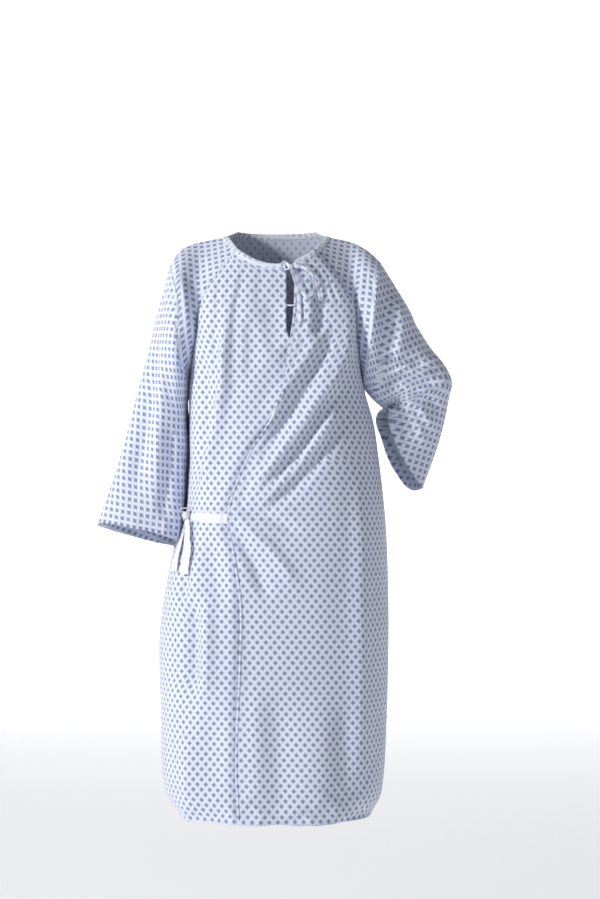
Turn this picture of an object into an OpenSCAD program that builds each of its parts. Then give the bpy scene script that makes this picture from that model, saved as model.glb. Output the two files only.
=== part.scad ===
// Wrap-front patient gown with raglan sleeves, worn: right arm down, left elbow bent.
// +Z up, front towards -Y, wearer's left towards +X, origin at the middle of the neck opening.

/* [Gown] */
// Height of the bottom hem, below the neck
hem_z = -1083; // [-1120:1:-1060]
// Thickness that stands for each layer of cloth
cloth_t = 2; // [1.5:0.1:2.5]
// Width of the turned bottom hem
hem_w = 20; // [15:1:25]
// Width of the turned front edges
facing_w = 14; // [10:1:16]
// Depth by which the underlap lies below the overlap
underlap_inset = 6.5; // [6:0.1:8]
// Thickness of the neck binding
binding_t = 3; // [2:0.5:4]
// Width of the neck binding
binding_w = 10; // [8:1:12]

/* [Front] */
// Height where the wrap flap starts below the pressed crease
flap_top_z = -335; // [-345:1:-330]
// Crease position across the chest at that height
crease_top_x = 15; // [12:0.5:18]
// Crease position at the hem
crease_hem_x = 46; // [40:0.5:50]
// Height of the waist tie
waist_tie_z = -529; // [-535:1:-520]

/* [Sleeves] */
// Width of the turned cuff hem
cuff_w = 18; // [15:1:22]

/* [Ties] */
// Width of the white waist tapes
tape_w = 19; // [16:1:20]
// Thickness of the tapes
tape_t = 1.2; // [1:0.1:1.5]
// Width of the printed neck strips
neck_strip_w = 10; // [8:1:11]
// Radius of the waist knot
waist_knot_r = 8; // [7:0.5:9]
// Radius of the neck knot
neck_knot_r = 6; // [5:0.5:7]

/* [Hidden] */

neck_key = -62;
underarm_key = -290;
layer_gap = 0.5;
roundness = 2.5;
print_cloth = [0.80, 0.82, 0.90];
reverse_cloth = [0.72, 0.75, 0.84];
white_tape = [0.93, 0.93, 0.92];

// Stations of the front, from the hem to the neck:
// key, height at the middle, height at the edge, right edge x, left edge x, middle y, edge y
FRONT = [
  [hem_z, hem_z, hem_z, -178, 180, -163, 4],
  [-1035, -1035, -1035, -207, 200, -162, 3],
  [-900, -900, -900, -213, 209, -159, 2],
  [-740, -740, -740, -216, 213, -156, 2],
  [-610, -610, -610, -194, 211, -153, 2],
  [-530, -530, -530, -168, 207, -151, 2],
  [-440, -440, -438, -161, 197, -149, 2],
  [-360, -360, -355, -161, 186, -147, 2],
  [-300, -300, -296, -161, 170, -145, 2],
  [underarm_key, -290, -286, -161, 168, -145, 2],
  [-200, -200, -190, -147, 152, -130, -50],
  [-120, -120, -108, -130, 136, -108, -70],
  [neck_key, -62, -32, -70, 76, -86, -54]
];

// The same for the back
BACK = [
  [hem_z, hem_z, hem_z, -178, 180, 156, 4],
  [-1035, -1035, -1035, -207, 200, 155, 3],
  [-900, -900, -900, -213, 209, 150, 2],
  [-740, -740, -740, -216, 213, 142, 2],
  [-610, -610, -610, -194, 211, 126, 2],
  [-530, -530, -530, -168, 207, 117, 2],
  [-440, -440, -438, -161, 197, 112, 2],
  [-360, -360, -355, -161, 186, 112, 2],
  [-300, -292, -296, -161, 170, 112, 2],
  [underarm_key, -282, -286, -161, 168, 112, 2],
  [-200, -170, -178, -149, 154, 110, 58],
  [-120, -72, -92, -130, 136, 98, 72],
  [neck_key, 6, 8, -70, 76, 70, 37]
];

// Wrap edge of the left front: height, x
WRAP = [[hem_z, -64], [-970, -69], [-770, -62], [-680, -62], [-590, -75], [-535, -85],
        [-480, -75], [-400, -41], [-340, -2], [-280, 15], [-210, 29], [-150, 37], [neck_key, 38]];
// Hidden edge of the underlap: height, x
UNDER = [[hem_z, 92], [-530, 90], [-400, 72], [-300, 45], [-225, 24], [-180, 20], [neck_key, 20]];

// Top line of each sleeve head, from the neck to the armhole: key, x, y, z, bulge of the sides
RIGHT_TOP = [[0, -90, -8, -4, 4], [0.35, -138, 0, -13, 14], [0.7, -176, 4, -27, 62], [1, -197, 4, -55, 104]];
LEFT_TOP = [[0, 96, -8, -4, 4], [0.35, 140, 0, -13, 14], [0.7, 172, 4, -28, 62], [1, 197, 4, -50, 104]];

// Stations of the sleeves from the armhole to the cuff:
// key, top x, top z, under x, under z, half depth, skew x, skew z of the front against the back
RIGHT_SLEEVE = [
  [0, -197, -55, -161, -286, 104, 0, 0],
  [1, -224, -155, -174, -345, 96, 0, 0],
  [2, -243, -245, -182, -410, 88, 0, 0],
  [3, -278, -380, -187, -500, 76, 0, 0],
  [4, -333, -545, -194, -582, 64, 0, 8]
];
LEFT_SLEEVE = [
  [0, 197, -50, 168, -286, 104, 0, 0],
  [1, 236, -112, 184, -306, 98, 0, 0],
  [2, 284, -196, 198, -316, 92, 4, 4],
  [3, 322, -264, 208, -322, 84, 8, 6],
  [4, 324, -312, 214, -324, 76, 12, 8],
  [5, 308, -385, 212, -324, 70, 20, 10],
  [6, 275, -476, 209, -324, 62, 30, 11]
];
// Where each sleeve's bend ends and the part that swings begins, by station
right_bend_end = 1.7;
left_bend_end = 1.5;
BEND_STEPS = [0, 0.25, 0.5, 0.75, 1];
bend_gap = 0.08;
cuff_k = cuff_w / 150;
side_angle = 89.9;
outer_tie_lift = 3.8;

ROWS = [hem_z, hem_z + hem_w, -1000, -900, -800, -700, -620, -560, -500, -440, -385, flap_top_z,
        underarm_key, -240, -195, -150, -105, neck_key];
HEM_ROWS = [hem_z, hem_z + hem_w];
FLAP_ROWS = [hem_z, hem_z + hem_w, -1000, -900, -800, -700, -620, -560, -500, -440, -385, flap_top_z];
HEAD_ROWS = [0, 0.2, 0.4, 0.6, 0.8, 1];

// Smooth curve through the rows of a table, read at key k in column c
function slope(t, i, c) =
  let(a = max(i - 1, 0), b = min(i + 1, len(t) - 1)) (t[b][c] - t[a][c]) / (t[b][0] - t[a][0]);
function seg(t, k, i = 0) = (i >= len(t) - 2 || k < t[i + 1][0]) ? i : seg(t, k, i + 1);
function curve(t, k, c = 1) =
  let(i = seg(t, k), h = t[i + 1][0] - t[i][0], s = (k - t[i][0]) / h)
  t[i][c] * (2 * s^3 - 3 * s^2 + 1) + t[i + 1][c] * (3 * s^2 - 2 * s^3)
  + h * slope(t, i, c) * (s^3 - 2 * s^2 + s) + h * slope(t, i + 1, c) * (s^3 - s^2);
function ease(s) = let(q = min(max(s, 0), 1)) q * q * (3 - 2 * q);
function mix(a, b, s) = a + (b - a) * s;
function unit(v) = v / max(norm(v), 1e-6);

// A point of the front or back at angle th round its section, on the row of the given key
function torso(t, th, key) =
  let(r = curve(t, key, 3), l = curve(t, key, 4), q = pow(abs(sin(th)), 2 / roundness),
      e = 1 - pow(abs(cos(th)), 2 / roundness))
  [(r + l) / 2 + sign(th) * q * (l - r) / 2, mix(curve(t, key, 5), curve(t, key, 6), e),
   mix(curve(t, key, 1), curve(t, key, 2), q * q)];
// The angle at which that section has a given x
function angle_at(t, x, key) =
  let(r = curve(t, key, 3), l = curve(t, key, 4), q = (2 * x - r - l) / (l - r))
  sign(q) * asin(pow(min(abs(q), 1), roundness / 2));
function edge(t, key, left) = torso(t, left ? 90 : -90, key);
function wrap_x(key) = curve(WRAP, key);
function crease_x(key) = mix(crease_top_x, crease_hem_x, (flap_top_z - key) / (flap_top_z - hem_z));

// How far the right front lies below the outer surface at x
function inset(x, key) = underlap_inset * ease((x - wrap_x(key) + 45) / 32) * ease((-195 - key) / 60);
function front_at(x, key) = torso(FRONT, angle_at(FRONT, x, key), key);
function right_at(th, key) = let(p = torso(FRONT, th, key)) p + [0, inset(p.x, key), 0];
function right_front(x, key) = right_at(angle_at(FRONT, x, key), key);

// A sleeve row: from the front seam a over the top m to the rear seam b, with bulging sides
function arc_row(a, m, b, bulge, skew, n) = [for (i = [0:n]) let(p = 2 * i / n - 1, w = 180 * (1 - abs(p)))
  mix(p < 0 ? a : b, m, (1 - cos(w)) / 2) + sin(w) * sign(p) * ([0, bulge, 0] - skew)];
function head_row(top, s, left, n) =
  let(key = mix(neck_key, underarm_key, s))
  arc_row(edge(FRONT, key, left), [curve(top, s, 1), curve(top, s, 2), curve(top, s, 3)],
          edge(BACK, key, left), curve(top, s, 4), [0, 0, 0], n);
function sleeve_row(t, k, n) =
  let(u = [curve(t, k, 3), 3, curve(t, k, 4)])
  arc_row(u, [curve(t, k, 1), 3, curve(t, k, 2)], u, curve(t, k, 5),
          [curve(t, k, 6), 0, curve(t, k, 7)], n);
function flip(rows) = [for (r = rows) [for (i = [len(r) - 1:-1:0]) r[i]]];

// Outward normals of a grid of points; a closed grid repeats its first column as its last
function normals(g, closed) =
  let(n = len(g[0]) - 1, m = len(g) - 1)
  [for (i = [0:m]) [for (j = [0:n])
    let(a = closed && j == 0 ? n - 1 : max(j - 1, 0), b = closed && j == n ? 1 : min(j + 1, n))
    unit(cross(g[i][b] - g[i][a], g[min(i + 1, m)][j] - g[max(i - 1, 0)][j]))]];
// A closed solid between two offsets below the grid's surface
module shell(g, top = 0, t = cloth_t, closed = false) {
  n = len(g[0]) - (closed ? 1 : 0);
  m = len(g);
  nv = normals(g, closed);
  outer = [for (i = [0:m - 1]) for (j = [0:n - 1]) g[i][j] - nv[i][j] * top];
  inner = [for (i = [0:m - 1]) for (j = [0:n - 1]) g[i][j] - nv[i][j] * (top + t)];
  s = m * n;
  last = closed ? n - 1 : n - 2;
  quads = [for (i = [0:m - 2]) for (j = [0:last]) let(k = (j + 1) % n)
    [i * n + j, (i + 1) * n + j, (i + 1) * n + k, i * n + k]];
  rims = [for (j = [0:last]) let(k = (j + 1) % n) each [[j, k, s + k, s + j],
          [(m - 1) * n + k, (m - 1) * n + j, s + (m - 1) * n + j, s + (m - 1) * n + k]]];
  sides = closed ? [] : [for (i = [0:m - 2]) each [[(i + 1) * n, i * n, s + i * n, s + (i + 1) * n],
          [i * n + n - 1, (i + 1) * n + n - 1, s + (i + 1) * n + n - 1, s + i * n + n - 1]]];
  all = concat(quads, [for (q = quads) [s + q[3], s + q[2], s + q[1], s + q[0]]], rims, sides);
  polyhedron(concat(outer, inner), [for (q = all) each [[q[0], q[1], q[2]], [q[0], q[2], q[3]]]]);
}

// A flat strip along a path, w wide, lying square to the direction n
module ribbon(path, n, w, t) {
  last = len(path) - 1;
  shell([for (i = [0:last])
    let(d = unit(cross(n, path[min(i + 1, last)] - path[max(i - 1, 0)])) * w / 2)
    [path[i] - d, path[i] + d]], -t / 2, t);
}

// Each panel as a grid, from its hem up and towards the wearer's left, or right on the back
function back_grid(rows) = [for (k = rows) [for (i = [7:-1:-7]) torso(BACK, side_angle * i / 7, k)]];
function left_edge_x(k) = k < flap_top_z + 1 ? crease_x(k) + 1.5 : wrap_x(k);
function left_grid(rows) = [for (k = rows) let(a = angle_at(FRONT, left_edge_x(k), k))
  [for (i = [0:8]) torso(FRONT, mix(a, side_angle, i / 8), k)]];
function right_grid(rows) = [for (k = rows)
  let(x = curve(UNDER, k), b = angle_at(FRONT, x - facing_w, k))
  concat([for (i = [0:9]) right_at(mix(-side_angle, b, i / 9), k)], [right_front(x, k)])];
function flap_grid(rows) = [for (k = rows)
  let(a = wrap_x(k), b = crease_x(k) - 1.5, f = min(facing_w, (b - a) * 0.6))
  [for (x = [a, a + f, mix(a + f, b, 0.33), mix(a + f, b, 0.67), b]) front_at(x, k)]];
function right_head_grid(rows) = [for (s = rows) head_row(RIGHT_TOP, s, false, 20)];
function left_head_grid(rows) = flip([for (s = rows) head_row(LEFT_TOP, s, true, 20)]);
function right_sleeve_grid(rows) = [for (k = rows) sleeve_row(RIGHT_SLEEVE, k, 20)];
function left_sleeve_grid(rows) = flip([for (k = rows) sleeve_row(LEFT_SLEEVE, k, 20)]);
function columns(g, a, b) = [for (r = g) [for (j = [a:b]) r[j]]];

// The neck edge, or a line d below it, from the right side of the slit round to the left side
function neck_line(d) =
  let(k = neck_key - d, s = d / (neck_key - underarm_key),
      a = angle_at(FRONT, 20, k), b = angle_at(FRONT, 40, k))
  concat([for (i = [0:5]) torso(FRONT, mix(a, -90, i / 5), k)],
         [for (i = [1:6]) head_row(RIGHT_TOP, s, false, 6)[i]],
         [for (i = [1:6]) torso(BACK, mix(-90, 90, i / 6), k)],
         [for (i = [5:-1:0]) head_row(LEFT_TOP, s, true, 6)[i]],
         [for (i = [1:5]) torso(FRONT, mix(90, b, i / 5), k)]);

// Points a given height off the outer faces of the fronts
function front_normal(x, k) =
  unit(cross(front_at(x + 4, k) - front_at(x - 4, k), front_at(x, k + 8) - front_at(x, k - 8)));
function on_front(x, k, lift) = front_at(x, k) + front_normal(x, k) * lift;
function on_right(x, k, lift) = right_front(x, k) + front_normal(x, k) * lift;
function on_front_path(pts, lift) = [for (p = pts) on_front(p.x, p.y, lift)];
function on_right_path(pts, lift) = [for (p = pts) on_right(p.x, p.y, lift)];

module back_panel() {
  color(print_cloth) shell(back_grid(ROWS));
}
module left_front_panel() {
  color(print_cloth) shell(left_grid(ROWS));
}
module front_wrap_flap() {
  color(print_cloth) shell(flap_grid(FLAP_ROWS));
}
module right_front_panel() {
  color(print_cloth) shell(right_grid(ROWS));
}
module right_sleeve_head() {
  color(print_cloth) shell(right_head_grid(HEAD_ROWS));
}
module left_sleeve_head() {
  color(print_cloth) shell(left_head_grid(HEAD_ROWS));
}
module right_sleeve_bend() {
  rows = [for (b = BEND_STEPS) mix(bend_gap, right_bend_end - bend_gap / 2, b)];
  color(print_cloth) shell(right_sleeve_grid(rows), closed = true);
}
module left_sleeve_bend() {
  rows = [for (b = BEND_STEPS) mix(bend_gap, left_bend_end - bend_gap / 2, b)];
  color(print_cloth) shell(left_sleeve_grid(rows), closed = true);
}
module right_sleeve() {
  color(print_cloth)
    shell(right_sleeve_grid([right_bend_end, 2, 2.4, 2.8, 3.2, 3.6, 4 - cuff_k, 4]), closed = true);
}
module left_sleeve() {
  color(print_cloth)
    shell(left_sleeve_grid([left_bend_end, 2, 2.5, 3, 3.5, 4, 4.5, 5, 5.5, 6 - cuff_k, 6]), closed = true);
}
module right_cuff_hem() {
  color(reverse_cloth) shell(right_sleeve_grid([4 - cuff_k, 4]), cloth_t + layer_gap, 1, closed = true);
}
module left_cuff_hem() {
  color(reverse_cloth) shell(left_sleeve_grid([6 - cuff_k, 6]), cloth_t + layer_gap, 1, closed = true);
}
module neck_binding() {
  line = neck_line(0);
  below = neck_line(25);
  color(print_cloth) shell([for (i = [0:len(line) - 1]) let(d = unit(line[i] - below[i]))
    [line[i] + d * 0.8, line[i] + d * (0.8 + binding_w)]], -0.5, binding_t);
}
module wrap_edge_facing() {
  rows = concat([hem_z + hem_w + 1], [for (i = [2:len(FLAP_ROWS) - 1]) FLAP_ROWS[i]]);
  color(reverse_cloth) shell(columns(flap_grid(rows), 0, 1), cloth_t + 2 * layer_gap, 1);
}
module underlap_facing() {
  rows = concat([hem_z + hem_w + 1], [for (i = [2:len(ROWS) - 2]) ROWS[i]]);
  color(reverse_cloth) shell(columns(right_grid(rows), 9, 10), cloth_t + layer_gap, 1);
}
module hem(g) {
  color(reverse_cloth) shell(g, cloth_t + layer_gap, 1);
}
module flap_hem() {
  hem(flap_grid(HEM_ROWS));
}
module left_front_hem() {
  hem(left_grid(HEM_ROWS));
}
module right_front_hem() {
  hem(right_grid(HEM_ROWS));
}
module back_hem() {
  hem(back_grid(HEM_ROWS));
}

// Neck ties, by x and height on the chest
module neck_knot() {
  color(print_cloth) translate(on_front(28, -68, 9)) sphere(r = neck_knot_r, $fn = 24);
}
module neck_bow_loop() {
  path = on_front_path([[38, -62], [52, -63], [64, -76], [70, -97],
                        [67, -118], [58, -126], [50, -112], [44, -92]], 9);
  color(print_cloth) ribbon(path, [0, -1, 0.4], neck_strip_w * 0.7, 1.2);
}
module neck_tail_long() {
  path = on_front_path([[33, -82], [37, -105], [39, -135], [40, -172]], 5);
  color(print_cloth) ribbon(path, [0, -1, 0.3], neck_strip_w, 1);
}
module neck_tail_short() {
  path = on_front_path([[48, -76], [60, -80], [69, -90], [78, -109], [90, -134]], 4.5);
  color(print_cloth) ribbon(path, [0, -1, 0.4], neck_strip_w * 0.8, 1);
}
module slit_tie() {
  path = on_front_path([[15, -136], [24, -138], [33, -138], [43, -136]], 2);
  color(print_cloth) ribbon(path, [0, -1, 0.3], 2.5, 1);
}

// Waist ties of white tape, on the right front at the waist
module outer_waist_tie() {
  path = [for (x = [-93, -102, -112, -124, -135, -143]) on_right(x, waist_tie_z, outer_tie_lift)];
  color(white_tape) ribbon(path, front_normal(-115, waist_tie_z), tape_w, tape_t);
}
module waist_knot() {
  color(white_tape) translate(on_right(-154, waist_tie_z + 4, 10)) sphere(r = waist_knot_r, $fn = 24);
}
module side_waist_tie() {
  color(white_tape) ribbon([for (a = [-77, -80, -83, -86, -89]) right_at(a, waist_tie_z) - [4.2, 0, 0]],
    [-0.93, -0.2, 0.31], tape_w, tape_t);
}
module waist_tail_front() {
  path = on_right_path([[-150, -545], [-154, -570], [-158, -600], [-161, -632]], 9);
  color(white_tape) ribbon(path, front_normal(-156, -590), tape_w * 0.8, tape_t);
}
module waist_tail_rear() {
  path = on_right_path([[-160, -546], [-169, -572], [-177, -600], [-182, -628]], 5);
  color(white_tape) ribbon(path, front_normal(-172, -590), tape_w * 0.8, tape_t);
}
module inner_underlap_tie() {
  color(white_tape) ribbon([for (x = [95, 110, 125, 140]) on_front(x, waist_tie_z, -7.5)],
    front_normal(118, waist_tie_z), tape_w, tape_t);
}
module inner_side_tie() {
  color(white_tape) ribbon([for (x = [142, 158, 174, 188, 198]) on_front(x, waist_tie_z, -7.5)],
    front_normal(175, waist_tie_z), tape_w, tape_t);
}

back_panel();
left_front_panel();
front_wrap_flap();
right_front_panel();
right_sleeve_head();
left_sleeve_head();
right_sleeve_bend();
left_sleeve_bend();
right_sleeve();
left_sleeve();
right_cuff_hem();
left_cuff_hem();
neck_binding();
wrap_edge_facing();
underlap_facing();
flap_hem();
left_front_hem();
right_front_hem();
back_hem();
neck_knot();
neck_bow_loop();
neck_tail_long();
neck_tail_short();
slit_tie();
outer_waist_tie();
side_waist_tie();
waist_knot();
waist_tail_front();
waist_tail_rear();
inner_side_tie();
inner_underlap_tie();
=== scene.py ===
import math

import bpy
import numpy as np
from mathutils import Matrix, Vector, kdtree
from mathutils.bvhtree import BVHTree


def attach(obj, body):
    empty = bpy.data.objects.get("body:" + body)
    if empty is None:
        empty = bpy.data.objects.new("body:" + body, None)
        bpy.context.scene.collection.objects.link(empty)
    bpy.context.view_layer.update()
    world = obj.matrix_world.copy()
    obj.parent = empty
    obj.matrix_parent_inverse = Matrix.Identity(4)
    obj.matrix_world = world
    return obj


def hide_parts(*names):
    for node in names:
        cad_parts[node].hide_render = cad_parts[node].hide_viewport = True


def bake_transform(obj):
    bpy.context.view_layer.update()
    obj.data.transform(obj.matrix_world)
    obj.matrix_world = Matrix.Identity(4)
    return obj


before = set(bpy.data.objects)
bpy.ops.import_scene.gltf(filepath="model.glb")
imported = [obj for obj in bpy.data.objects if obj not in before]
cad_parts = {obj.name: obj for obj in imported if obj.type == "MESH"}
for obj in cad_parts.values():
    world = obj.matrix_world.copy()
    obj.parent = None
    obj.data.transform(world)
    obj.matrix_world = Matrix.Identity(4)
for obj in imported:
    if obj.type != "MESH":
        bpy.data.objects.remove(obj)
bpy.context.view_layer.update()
scene = bpy.context.scene

# ---------------------------------------------------------------- camera
CAMERA_PLACE = (0.047, -4.5, -0.403)
FRAME_HEIGHT = 1.690  # what the camera sees at the gown's middle plane


def make_camera():
    data = bpy.data.cameras.new("camera")
    data.sensor_fit = "VERTICAL"
    data.angle = 2 * math.atan(FRAME_HEIGHT / 2 / -CAMERA_PLACE[1])
    camera = bpy.data.objects.new("camera", data)
    scene.collection.objects.link(camera)
    camera.location = CAMERA_PLACE
    camera.rotation_euler = (math.pi / 2, 0, 0)
    scene.camera = camera


make_camera()

# ---------------------------------------------------------------- stations of the gown, in millimetres
# The CAD part's stations, with small changes at two sleeve rows:
# key, z middle, z edge, right x, left x, middle y, edge y
HEM_Z = -1083.0
NECK_KEY = -62.0
UNDERARM_KEY = -290.0
ROUNDNESS = 2.5
FRONT = np.array([
    [HEM_Z, HEM_Z, HEM_Z, -178, 180, -163, 4],
    [-1035, -1035, -1035, -207, 200, -162, 3],
    [-900, -900, -900, -213, 209, -159, 2],
    [-740, -740, -740, -216, 213, -156, 2],
    [-610, -610, -610, -194, 211, -153, 2],
    [-530, -530, -530, -168, 207, -151, 2],
    [-440, -440, -438, -161, 197, -149, 2],
    [-360, -360, -355, -161, 186, -147, 2],
    [-300, -300, -296, -161, 170, -145, 2],
    [UNDERARM_KEY, -290, -286, -161, 168, -145, 2],
    [-200, -200, -190, -147, 152, -130, -50],
    [-120, -120, -108, -130, 136, -108, -70],
    [NECK_KEY, -62, -32, -70, 76, -86, -54],
])
BACK = np.array([
    [HEM_Z, HEM_Z, HEM_Z, -178, 180, 156, 4],
    [-1035, -1035, -1035, -207, 200, 155, 3],
    [-900, -900, -900, -213, 209, 150, 2],
    [-740, -740, -740, -216, 213, 142, 2],
    [-610, -610, -610, -194, 211, 126, 2],
    [-530, -530, -530, -168, 207, 117, 2],
    [-440, -440, -438, -161, 197, 112, 2],
    [-360, -360, -355, -161, 186, 112, 2],
    [-300, -292, -296, -161, 170, 112, 2],
    [UNDERARM_KEY, -282, -286, -161, 168, 112, 2],
    [-200, -170, -178, -149, 154, 110, 58],
    [-120, -72, -92, -130, 136, 98, 72],
    [NECK_KEY, 6, 8, -70, 76, 70, 37],
])
# Wrap edge of the left front and hidden edge of the underlap: key, x
WRAP = np.array([
    [HEM_Z, -64], [-970, -69], [-770, -62], [-680, -62], [-590, -75], [-535, -85],
    [-480, -75], [-400, -41], [-340, -2], [-280, 15], [-210, 29], [-150, 37], [NECK_KEY, 38],
])
UNDER = np.array([
    [HEM_Z, 92], [-530, 90], [-400, 72], [-300, 45], [-225, 24], [-180, 20], [NECK_KEY, 20],
])
CREASE_TOP = (-335.0, 15.0)
CREASE_HEM = (HEM_Z, 46.0)
SLIT_END_KEY = -213.0
# Top line of each sleeve head: share of the way from neck to armhole, x, y, z, bulge of the sides
RIGHT_TOP = np.array([
    [0, -90, -8, -4, 4], [0.35, -138, 0, -13, 14], [0.7, -176, 4, -27, 62], [1, -197, 4, -55, 104],
])
LEFT_TOP = np.array([
    [0, 96, -8, -4, 4], [0.35, 140, 0, -13, 14], [0.7, 172, 4, -28, 62], [1, 197, 4, -50, 104],
])
# Stations of the sleeves: key, top x, top z, under x, under z, half depth, skew x, skew z
RIGHT_SLEEVE = np.array([
    [0, -197, -55, -161, -286, 104, 0, 0],
    [1, -224, -155, -174, -345, 96, 0, 0],
    [2, -243, -245, -182, -410, 88, 0, 0],
    [3, -278, -380, -187, -500, 76, 0, 0],
    [4, -333, -545, -194, -578, 64, 0, 13],
])
LEFT_SLEEVE = np.array([
    [0, 197, -50, 168, -286, 104, 0, 0],
    [1, 236, -112, 184, -306, 98, 0, 0],
    [2, 284, -196, 198, -316, 92, 4, 4],
    [3, 327, -266, 208, -322, 84, 8, 6],
    [4, 324, -312, 214, -324, 76, 12, 8],
    [5, 308, -385, 212, -324, 70, 20, 10],
    [6, 275, -476, 209, -324, 62, 30, 11],
])


def slopes(t):
    m = np.empty((len(t), t.shape[1] - 1))
    for i in range(len(t)):
        a, b = max(i - 1, 0), min(i + 1, len(t) - 1)
        m[i] = (t[b, 1:] - t[a, 1:]) / (t[b, 0] - t[a, 0])
    return m


def curve(t, key, column=1):
    """The smooth curve through a table's rows, read at the keys, in one column."""
    key = np.asarray(key, float)
    m = slopes(t)[:, column - 1]
    i = np.clip(np.searchsorted(t[:, 0], key, side="right") - 1, 0, len(t) - 2)
    h = t[i + 1, 0] - t[i, 0]
    s = (key - t[i, 0]) / h
    return (
        t[i, column] * (2 * s**3 - 3 * s**2 + 1)
        + t[i + 1, column] * (3 * s**2 - 2 * s**3)
        + h * m[i] * (s**3 - 2 * s**2 + s)
        + h * m[i + 1] * (s**3 - s**2)
    )


def mix(a, b, s):
    return a + (b - a) * s


def ease(s):
    q = np.clip(s, 0, 1)
    return q * q * (3 - 2 * q)


def torso(t, th, key):
    """Points at angle th (degrees) round the section, on rows of the given keys."""
    th, key = np.broadcast_arrays(np.asarray(th, float), np.asarray(key, float))
    r, l = curve(t, key, 3), curve(t, key, 4)
    q = np.abs(np.sin(np.radians(th))) ** (2 / ROUNDNESS)
    e = 1 - np.abs(np.cos(np.radians(th))) ** (2 / ROUNDNESS)
    # Below the underarm the front and the back meet in one side seam
    seam = key <= UNDERARM_KEY
    y_edge = np.where(seam, curve(FRONT, key, 6) / 2 + curve(BACK, key, 6) / 2, curve(t, key, 6))
    z_edge = np.where(seam, curve(FRONT, key, 2), curve(t, key, 2))
    x = (r + l) / 2 + np.sign(th) * q * (l - r) / 2
    y = mix(curve(t, key, 5), y_edge, e)
    z = mix(curve(t, key, 1), z_edge, q * q)
    return np.stack([x, y, z], -1)


def angle_at(t, x, key):
    r, l = curve(t, key, 3), curve(t, key, 4)
    q = (2 * x - r - l) / (l - r)
    return np.sign(q) * np.degrees(np.arcsin(np.minimum(np.abs(q), 1) ** (ROUNDNESS / 2)))


def crease_x(key):
    return mix(CREASE_TOP[1], CREASE_HEM[1], (CREASE_TOP[0] - key) / (CREASE_TOP[0] - CREASE_HEM[0]))


def arc_row(a, m, b, bulge, skew, n, squareness=1.0):
    """A sleeve row from the front seam a over the top m to the rear seam b."""
    p = 2 * np.arange(n + 1) / n - 1
    w = np.pi * (1 - np.abs(p))
    base = np.where(p[:, None] < 0, a, b)
    side = np.maximum(np.sin(w), 0) ** squareness * np.sign(p)
    return mix(base, m, ((1 - np.cos(w)) / 2)[:, None]) + side[:, None] * (np.array([0, bulge, 0]) - skew)


def head_rows(top, keys, left, n):
    side = 90 if left else -90
    rows = []
    for key in keys:
        s = (NECK_KEY - key) / (NECK_KEY - UNDERARM_KEY)
        t = [curve(top, s, c) for c in (1, 2, 3, 4)]
        front, back = torso(FRONT, side, key), torso(BACK, side, key)
        rows.append(arc_row(front, np.array(t[:3]), back, t[3], np.zeros(3), n))
    return np.array(rows)


def sleeve_rows(t, first, ks, n):
    """Rings of a sleeve; the first is the armhole ring that the head ends in."""
    rows = []
    for k in ks:
        c = [curve(t, k, i) for i in range(1, 8)]
        under, top = np.array([c[2], 2, c[3]]), np.array([c[0], 4, c[1]])
        flatter = ease(k / 1.5)
        depth = c[4] * (1 - 0.2 * flatter)
        row = arc_row(under, top, under, depth, np.array([c[5], 0, c[6]]), n, 1 - 0.42 * flatter)
        # The far side hangs nearer the body, and the near side of the bent arm opens less
        half = np.linspace(-1, 1, n + 1)
        behind = np.maximum(half, 0)
        if top[0] < 0:
            row[:, 0] += 20 * flatter * np.sin(np.pi * behind**0.6)
            row[:, 0] += 18 * ease(k / 2) * np.abs(half) ** 2
        else:
            row[:, 0] -= 48 * ease((k - 3.2) / 2.3) * np.sin(np.pi * np.maximum(-half, 0))
        rows.append(mix(first, row, ease(k / 0.5)) if k < 0.5 else row)
    return np.array(rows)


# ---------------------------------------------------------------- the gown's grids
CELL = 8.5  # spacing of the cloth's points
lower_keys = np.linspace(HEM_Z, UNDERARM_KEY, int((UNDERARM_KEY - HEM_Z) / CELL) + 1)
upper_keys = np.linspace(UNDERARM_KEY, NECK_KEY, int(250 / CELL) + 1)[1:]
KEYS = np.concatenate([lower_keys, upper_keys])
N_RIGHT, N_FLAP, N_LEFT, N_BACK, N_RING = (int(n / CELL) for n in (235, 120, 260, 560, 560))
N_RING += N_RING % 2


def spread(a, b, n):
    return a[:, None] + (b - a)[:, None] * np.linspace(0, 1, n + 1)[None, :]


def skin_grids():
    side = np.full(len(KEYS), 90.0)
    wrap = curve(WRAP, KEYS)
    slit_edge = np.minimum(wrap, 20 + 9 * ease((SLIT_END_KEY + 35 - KEYS) / 35))
    slit = np.where(KEYS > SLIT_END_KEY, slit_edge, wrap)
    crease = np.maximum(crease_x(KEYS), wrap + 8)
    a_right = angle_at(FRONT, slit, KEYS)
    a_wrap = angle_at(FRONT, wrap, KEYS)
    a_crease = angle_at(FRONT, crease, KEYS)
    k = KEYS[:, None]
    grids = {
        "right": torso(FRONT, spread(-side, a_right, N_RIGHT), k),
        "flap": torso(FRONT, spread(a_wrap, a_crease, N_FLAP), k),
        "left": torso(FRONT, spread(a_crease, side, N_LEFT), k),
        "back": torso(BACK, spread(-side, side, N_BACK), k),
    }
    head_keys = KEYS[KEYS >= UNDERARM_KEY][::-1]
    grids["right_head"] = head_rows(RIGHT_TOP, head_keys, False, N_RING)
    grids["left_head"] = head_rows(LEFT_TOP, head_keys, True, N_RING)
    right_ks = np.linspace(0, 4, int(430 / CELL) + 1)
    left_ks = np.linspace(0, 6, int(460 / CELL) + 1)
    grids["right_sleeve"] = sleeve_rows(RIGHT_SLEEVE, grids["right_head"][-1], right_ks, N_RING)
    grids["left_sleeve"] = sleeve_rows(LEFT_SLEEVE, grids["left_head"][-1], left_ks, N_RING)
    return grids


GRIDS = skin_grids()
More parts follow.
